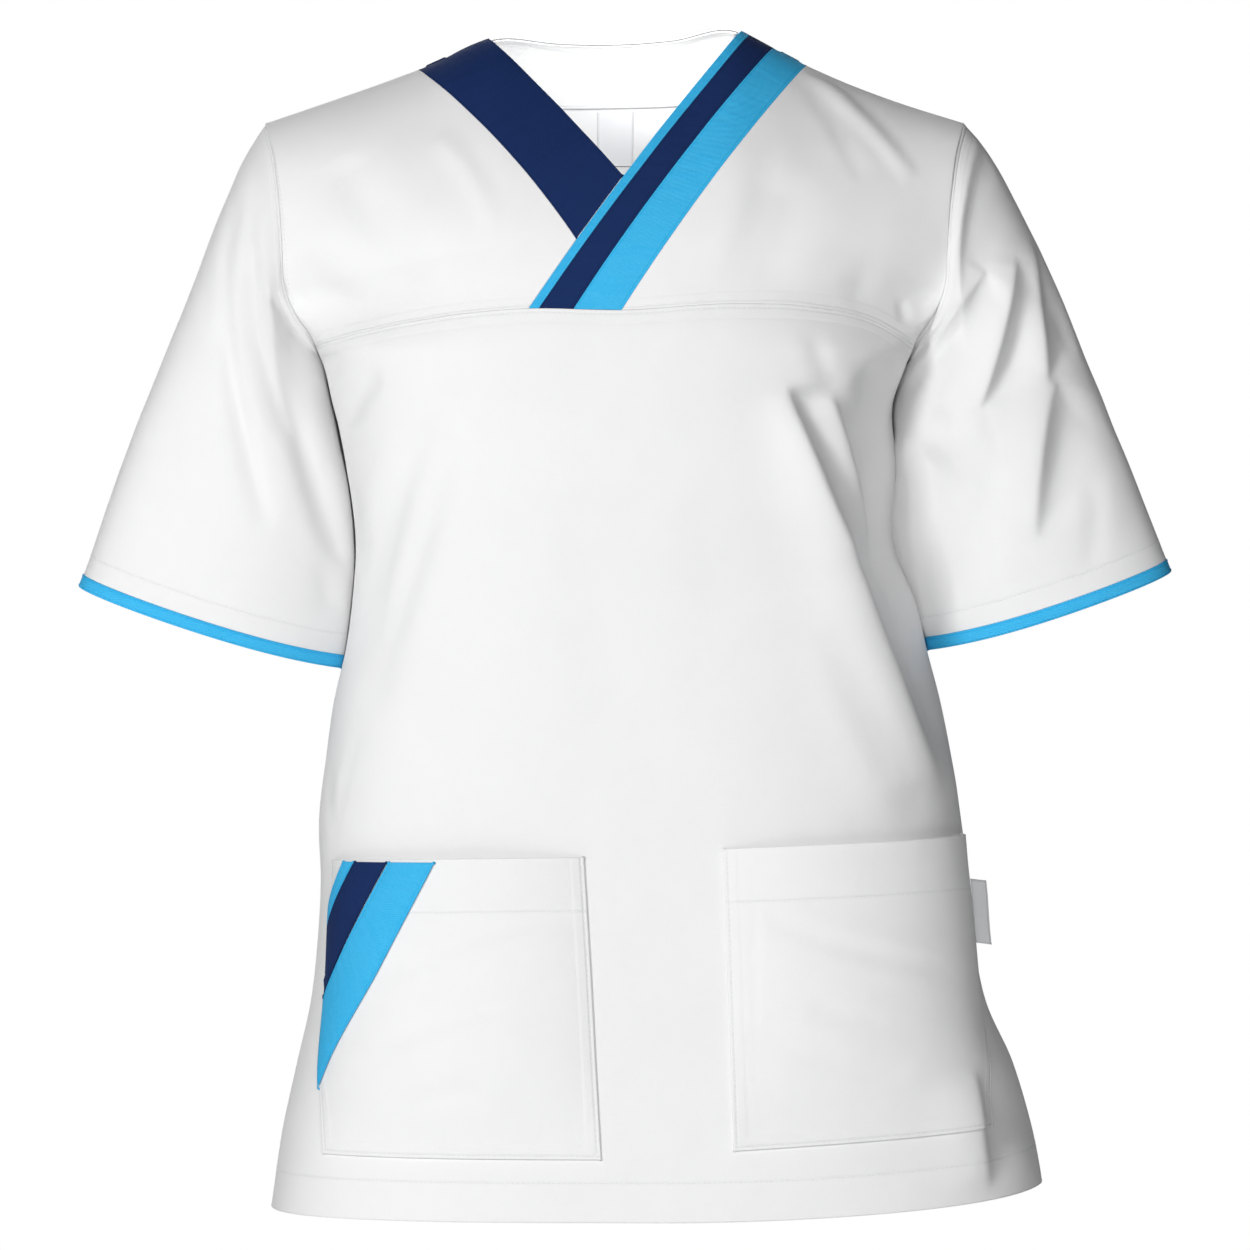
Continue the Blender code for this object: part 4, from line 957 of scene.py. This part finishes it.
def ribbedCloth(name):
    colour, deep, rib, relief, roughness = twillLooks[name]
    material, wire, shader, place, cloth = startMaterial(name, roughness, 0.0)
    u, v = cloth.part(0), cloth.part(1)
    ribs = ((u * twillShape["slant"] + v) * (2 * math.pi / (rib * mm))).sine()
    threads = (u * (2 * math.pi / (twillShape["threads"] * mm))).sine()
    grain = place.noise(twillShape["grain"])
    creases = cloth.drawnOut(twillShape["creases"], 2.0)
    # the topstitch groove: sunk into the bump, and painted darker as shade in the colour
    grooveAndShade = cloth.distance("seamDistance").bell(twillShape["topstitch"], 0.5)
    height = ribs * relief + threads * relief * 0.4 + grain * 0.05 + creases * 0.55 - grooveAndShade * 0.2
    # the topstitch groove also darkens the colour: painted shade along the stitching
    tone = ribs * 0.22 + (grain - 0.5) * 0.9 + (creases - 0.5) * 0.5 + 0.45 + grooveAndShade * 0.3
    finishMaterial(wire, shader, tone, colour, deep, height)
    return material


satinLook = {"colour": (0.80, 0.81, 0.82, 1), "deep": (0.70, 0.71, 0.73, 1), "roughness": 0.45,
             "sheen": 0.1, "lines": 0.6, "grain": 900.0}


def labelSatin():
    look = satinLook
    material, wire, shader, place, cloth = startMaterial("labelSatin", look["roughness"],
                                                         look["sheen"])
    lines = (cloth.part(1) * (2 * math.pi / (look["lines"] * mm))).sine()
    grain = place.noise(look["grain"])
    finishMaterial(wire, shader, lines * 0.15 + grain * 0.5, look["colour"], look["deep"],
                   lines * 0.02 + grain * 0.05)
    return material


threadLook = {"colour": (0.84, 0.85, 0.86, 1), "deep": (0.66, 0.67, 0.70, 1), "roughness": 0.6,
              "sheen": 0.1, "grain": 2500.0}


def threadMaterial():
    look = threadLook
    material, wire, shader, place, cloth = startMaterial("whiteThread", look["roughness"],
                                                         look["sheen"])
    wire.tree.nodes.remove(cloth.socket.node)  # stitches carry no UV map
    grain = place.noise(look["grain"], 1.0)
    finishMaterial(wire, shader, grain, look["colour"], look["deep"], grain * 0.05)
    return material


white = whiteCloth("whitePolyCotton", frontPanelLook["topstitch"], frontPanelLook["hemWidth"], 1.0)
whitePocket = whiteCloth("whitePocketCloth", pocketLook["edgeStitch"], pocketLook["hemWidth"], 0.7)
whiteSleeve = whiteCloth("whiteSleeveCloth", frontPanelLook["topstitch"],
                         sleeveLook["bandWidth"], 0.8)
navy, blue = ribbedCloth("navyTwill"), ribbedCloth("lightBlueTwill")
satin, whiteThread = labelSatin(), threadMaterial()
print("materials made")


nets, sheets = {}, {}


def makeSheet(name, net, material, thickness, turned, **edges):  # turned: mm that go under
    nets[name] = net
    sheets[name] = clothSheet(name, net, material, thickness, turned, **edges)


makeSheet("frontPanel", frontPanelNet(), white, frontPanelLook["thickness"],
          {"top": 3, "bottom": 1.0, "first": 1.2, "last": 1.2}, sewn=("top",), hems=("bottom",))
makeSheet("backPanel", backPanelNet(), white, backPanelLook["thickness"],
          {"top": 1.0, "bottom": 1.0, "first": 1.2, "last": 1.2}, hems=("bottom",))
for name, side in (("frontYokeRight", -1), ("frontYokeLeft", 1)):
    makeSheet(name, yokeNet(side), white, frontPanelLook["thickness"],
              {"bottom": 3, "top": 1.0, "first": 2.0, "last": 2.0}, sewn=("bottom",))
print("panels and yokes made")

shares = bandShares()
lower = np.append(shares[:-1], 0.999)  # ends just above the chest seam
plain = shares * 0.996  # ends just above the crossing band
bands = {
    "neckStripPiping": (crossingEdge, crossingEdges[0], crossingEdges[1], lower, "piping", blue),
    "neckStripNavy": (crossingEdge, crossingEdges[1], crossingEdges[2], lower, "navy", navy),
    "neckStripBlue": (crossingEdge, crossingEdges[2], crossingEdges[3], lower, "blue", blue),
    "neckBandNavy": (plainEdge, plainEdges[0], plainEdges[1], plain, "plain", navy),
}
for name, (edge, first, second, along, width, material) in bands.items():
    makeSheet(name, bandNet(edge(first, along), edge(second, along), bandLook[width]), material,
              bandLook["thickness"], {"first": 1.5, "last": 1.5, "top": 1.5, "bottom": 1.0},
              sewn=("first", "last"))
print("neck bands made")

for word, rows, side, folds in (("Right", sleeveRightRows, -1, sleeveRightFolds),
                                ("Left", sleeveLeftRows, 1, sleeveLeftFolds)):
    sleeve, binding = sleeveNets(rows, side, folds)
    makeSheet("sleeve" + word, sleeve, whiteSleeve, sleeveLook["thickness"],
              {"bottom": 2.0, "top": 1.5}, ring=True, sewn=("bottom",), hems=("top",))
    makeSheet("cuffBinding" + word, binding, blue, sleeveLook["bindingThickness"],
              {"bottom": 1.2, "top": 1.2}, ring=True, sewn=("bottom",))
print("sleeves made")

for name, rows, folds in (("pocketRight", pocketRightRows, pocketRightFolds),
                          ("pocketLeft", pocketLeftRows, pocketLeftFolds)):
    makeSheet(name, pocketNet(rows, folds), whitePocket, pocketLook["thickness"],
              {"bottom": 1.5, "top": 0.9, "first": 1.5, "last": 1.5},
              sewn=("bottom", "first", "last"), hems=("top",))
for name, net, material in zip(("pocketTapePiping", "pocketTapeNavy", "pocketTapeBlue"),
                               tapeNets(), (blue, navy, blue)):
    makeSheet(name, net, material, pocketLook["tapeThickness"],
              {"first": 0.8, "last": 0.8, "bottom": 0.8, "top": 0.8}, sewn=("first", "last"))
print("pockets and tapes made")

facing, label = neckNets(nets["backPanel"])
makeSheet("backNeckFacing", facing, white, neckLook["facingThickness"], {"top": 0.8},
          sewn=("top",))
makeSheet("neckLabel", label, satin, neckLook["labelThickness"], {"bottom": 0.5}, sewn=("top",))
makeSheet("sideLabel", sideLabelNet(), satin, sideLabelLook["thickness"], {"last": 0.5})
print("neck facing and labels made")

stitchLook = {"pitch": 3.0, "length": 2.2, "radius": 0.26, "sink": 0.05}
overlockLook = {"pitch": 1.3, "length": 2.6, "slant": 0.9, "rows": (0.8, 2.6)}


def alongRun(spots, run, values):
    return np.stack([np.interp(spots, run, values[:, k]) for k in range(3)], axis=-1)


def stitchMesh(name, lines, length, pitch, slant=0.0):
    bpy.ops.object.select_all(action="DESELECT")
    bpy.ops.mesh.primitive_ico_sphere_add(subdivisions=1, radius=1.0, location=(0, 0, 0))
    piece = bpy.context.active_object
    ball = np.array([tuple(vertex.co) for vertex in piece.data.vertices])
    faces = np.array([tuple(face.vertices) for face in piece.data.polygons])
    radius, sink, reach = stitchLook["radius"] * mm, stitchLook["sink"] * mm, 0.5 * mm
    allPoints, allFaces, count = [], [], 0
    for points, normals in lines:
        run = np.concatenate([[0], np.cumsum(np.linalg.norm(np.diff(points, axis=0), axis=-1))])
        spots = np.arange(pitch * mm / 2, run[-1], pitch * mm)
        if not len(spots):
            continue
        centre = alongRun(spots, run, points)
        up = unit(alongRun(spots, run, normals))
        along = unit(alongRun(spots + reach, run, points) - alongRun(spots - reach, run, points))
        along = unit(along + unit(np.cross(along, up)) * slant)
        aside = unit(np.cross(along, up))
        stitch = (along[:, None] * ball[None, :, :1] * length / 2 * mm
                  + aside[:, None] * ball[None, :, 1:2] * radius
                  + up[:, None] * ball[None, :, 2:] * radius)
        stitch = stitch + (centre - up * sink)[:, None]
        allPoints.append(stitch.reshape(-1, 3))
        firstPoints = (np.arange(len(spots)) * len(ball))[:, None, None]
        allFaces.append((faces[None] + firstPoints + count).reshape(-1, 3))
        count += len(spots) * len(ball)
    mesh = bpy.data.meshes.new(name)
    mesh.from_pydata(np.concatenate(allPoints).tolist(), [], np.concatenate(allFaces).tolist())
    mesh.shade_smooth()
    mesh.materials.append(whiteThread)
    piece.data, piece.name = mesh, name
    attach(piece, "root")


def closedLine(line):
    points, normals = line
    return np.concatenate([points, points[:1]]), np.concatenate([normals, normals[:1]])


topstitch, hemWidth = frontPanelLook["topstitch"], frontPanelLook["hemWidth"]
edgeStitch, mouth = pocketLook["edgeStitch"], pocketLook["hemWidth"]
pockets, sleeves = ("pocketRight", "pocketLeft"), ("sleeveRight", "sleeveLeft")
seams = {  # the piece, its side, and the distance from that side in mm
    "chestSeamStitches": [("frontPanel", "top", topstitch)],
    "hemStitches": [("frontPanel", "bottom", hemWidth), ("backPanel", "bottom", hemWidth)],
    "armholeStitches": [("frontYokeRight", "first", topstitch)],
    "pocketStitches": [(pocket, side, edgeStitch) for pocket in pockets
                       for side in ("bottom", "first", "last")]
                      + [(pocket, "top", mouth) for pocket in pockets],
    "cuffStitches": [(sleeve, "top", sleeveLook["bandWidth"]) for sleeve in sleeves],
}
for name, runs in seams.items():
    lines = [lineInside(nets[piece], side, distance * mm) for piece, side, distance in runs]
    if name == "cuffStitches":
        lines = [closedLine(line) for line in lines]
    stitchMesh(name, lines, stitchLook["length"], stitchLook["pitch"])
rows = [lineInside(nets["backNeckFacing"], "bottom", row * mm) for row in overlockLook["rows"]]
stitchMesh("facingOverlock", rows, overlockLook["length"], overlockLook["pitch"],
           overlockLook["slant"])
print("stitches made")

cuts = {  # width, length and area that each piece was cut to, in metres
    "frontPanel": (0.573, 0.543, 0.265), "backPanel": (0.626, 0.761, 0.353),
    "frontYokeRight": (0.187, 0.240, 0.027), "frontYokeLeft": (0.220, 0.237, 0.026),
    "backNeckFacing": (0.186, 0.071, 0.0083),
    "sleeveRight": (0.443, 0.292, 0.090), "sleeveLeft": (0.451, 0.289, 0.090),
    "cuffBindingRight": (0.441, 0.011, 0.0048), "cuffBindingLeft": (0.419, 0.011, 0.0046),
    "neckBandNavy": (0.190, 0.051, 0.0079), "neckStripPiping": (0.254, 0.010, 0.0018),
    "neckStripNavy": (0.252, 0.020, 0.0044), "neckStripBlue": (0.245, 0.028, 0.0058),
    "pocketRight": (0.187, 0.176, 0.0325), "pocketLeft": (0.195, 0.179, 0.0330),
    "pocketTapePiping": (0.052, 0.011, 0.00055), "pocketTapeNavy": (0.100, 0.024, 0.0021),
    "pocketTapeBlue": (0.157, 0.034, 0.0042),
    "neckLabel": (0.022, 0.037, 0.0008), "sideLabel": (0.038, 0.010, 0.00037),
}


def nodeName(name):  # frontPanel is the frame's front_panel
    return "".join("_" + letter.lower() if letter.isupper() else letter for letter in name)


for name, (width, length, area) in cuts.items():
    sheet = sheets[name]
    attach(sheet, "root")
    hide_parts(nodeName(name))
print("pieces placed on the frame")

stageLook = {"floorHeight": -1.45, "floorSize": 12, "colour": (0.90, 0.905, 0.91, 1),
             "roughness": 0.9, "glow": 0.45, "sky": 0.06}
bpy.ops.object.select_all(action="DESELECT")
bpy.ops.mesh.primitive_plane_add(size=stageLook["floorSize"],
                                 location=(0, 0, stageLook["floorHeight"]))
floor = bpy.context.active_object
floor.name = "floor"
floorMaterial = bpy.data.materials.new("paleFloor")
floorMaterial.use_nodes = True
floorShader = floorMaterial.node_tree.nodes["Principled BSDF"]
floorShader.inputs["Base Color"].default_value = stageLook["colour"]
floorShader.inputs["Roughness"].default_value = stageLook["roughness"]
floorShader.inputs["Emission Strength"].default_value = stageLook["glow"]
seenFloor = Wire(floorMaterial.node_tree).add("ShaderNodeLightPath")  # it doesn't light the cloth
floorMaterial.node_tree.links.new(seenFloor.socket, floorShader.inputs["Emission Color"])
floor.data.materials.append(floorMaterial)

lightLook = {  # place, power and width of each lamp
    "key": ((-2.4, -3.9, 0.9), 127, 1.0), "front": ((0.3, -3.7, 0.3), 48, 1.4),
    "back": ((-0.6, 3.3, 1.0), 70, 2.2), "neckLamp": ((0, -0.035, -0.02), 0.16, 0.1)}
cameraLook = {"place": (0.006, -3.5, -0.3558), "lens": 168, "sensor": 36, "clipEnd": 60}
middle = Vector((0, 0, -0.35))  # of the tunic, where the lamps point
for name, (spot, power, size) in lightLook.items():
    light = bpy.data.lights.new(name, "AREA")
    light.energy, light.size = power, size
    lamp = bpy.data.objects.new(name, light)
    bpy.context.scene.collection.objects.link(lamp)
    lamp.location = spot
    lamp.rotation_euler = (lamp.location - middle).to_track_quat("Z", "Y").to_euler()
lamp.rotation_euler = (quarter, 0, 0)  # the last lights the back neck from the opening
lamp.visible_camera = False
world = bpy.data.worlds.new("softSky")
world.use_nodes = True
seen = Wire(world.node_tree).add("ShaderNodeLightPath")  # seen white, but it lights less
strength = seen * (1 - stageLook["sky"]) + stageLook["sky"]
backdrop = world.node_tree.nodes["Background"]
backdrop.inputs["Color"].default_value = (1, 1, 1, 1)
world.node_tree.links.new(strength.socket, backdrop.inputs["Strength"])
bpy.context.scene.world = world
bpy.context.scene.view_settings.view_transform = "Standard"

camera = bpy.data.objects.new("camera", bpy.data.cameras.new("camera"))
bpy.context.scene.collection.objects.link(camera)
camera.data.lens, camera.data.sensor_width = cameraLook["lens"], cameraLook["sensor"]
camera.data.clip_end = cameraLook["clipEnd"]
camera.location, camera.rotation_euler = cameraLook["place"], (quarter, 0, 0)
bpy.context.scene.camera = camera
print("stage and camera set")
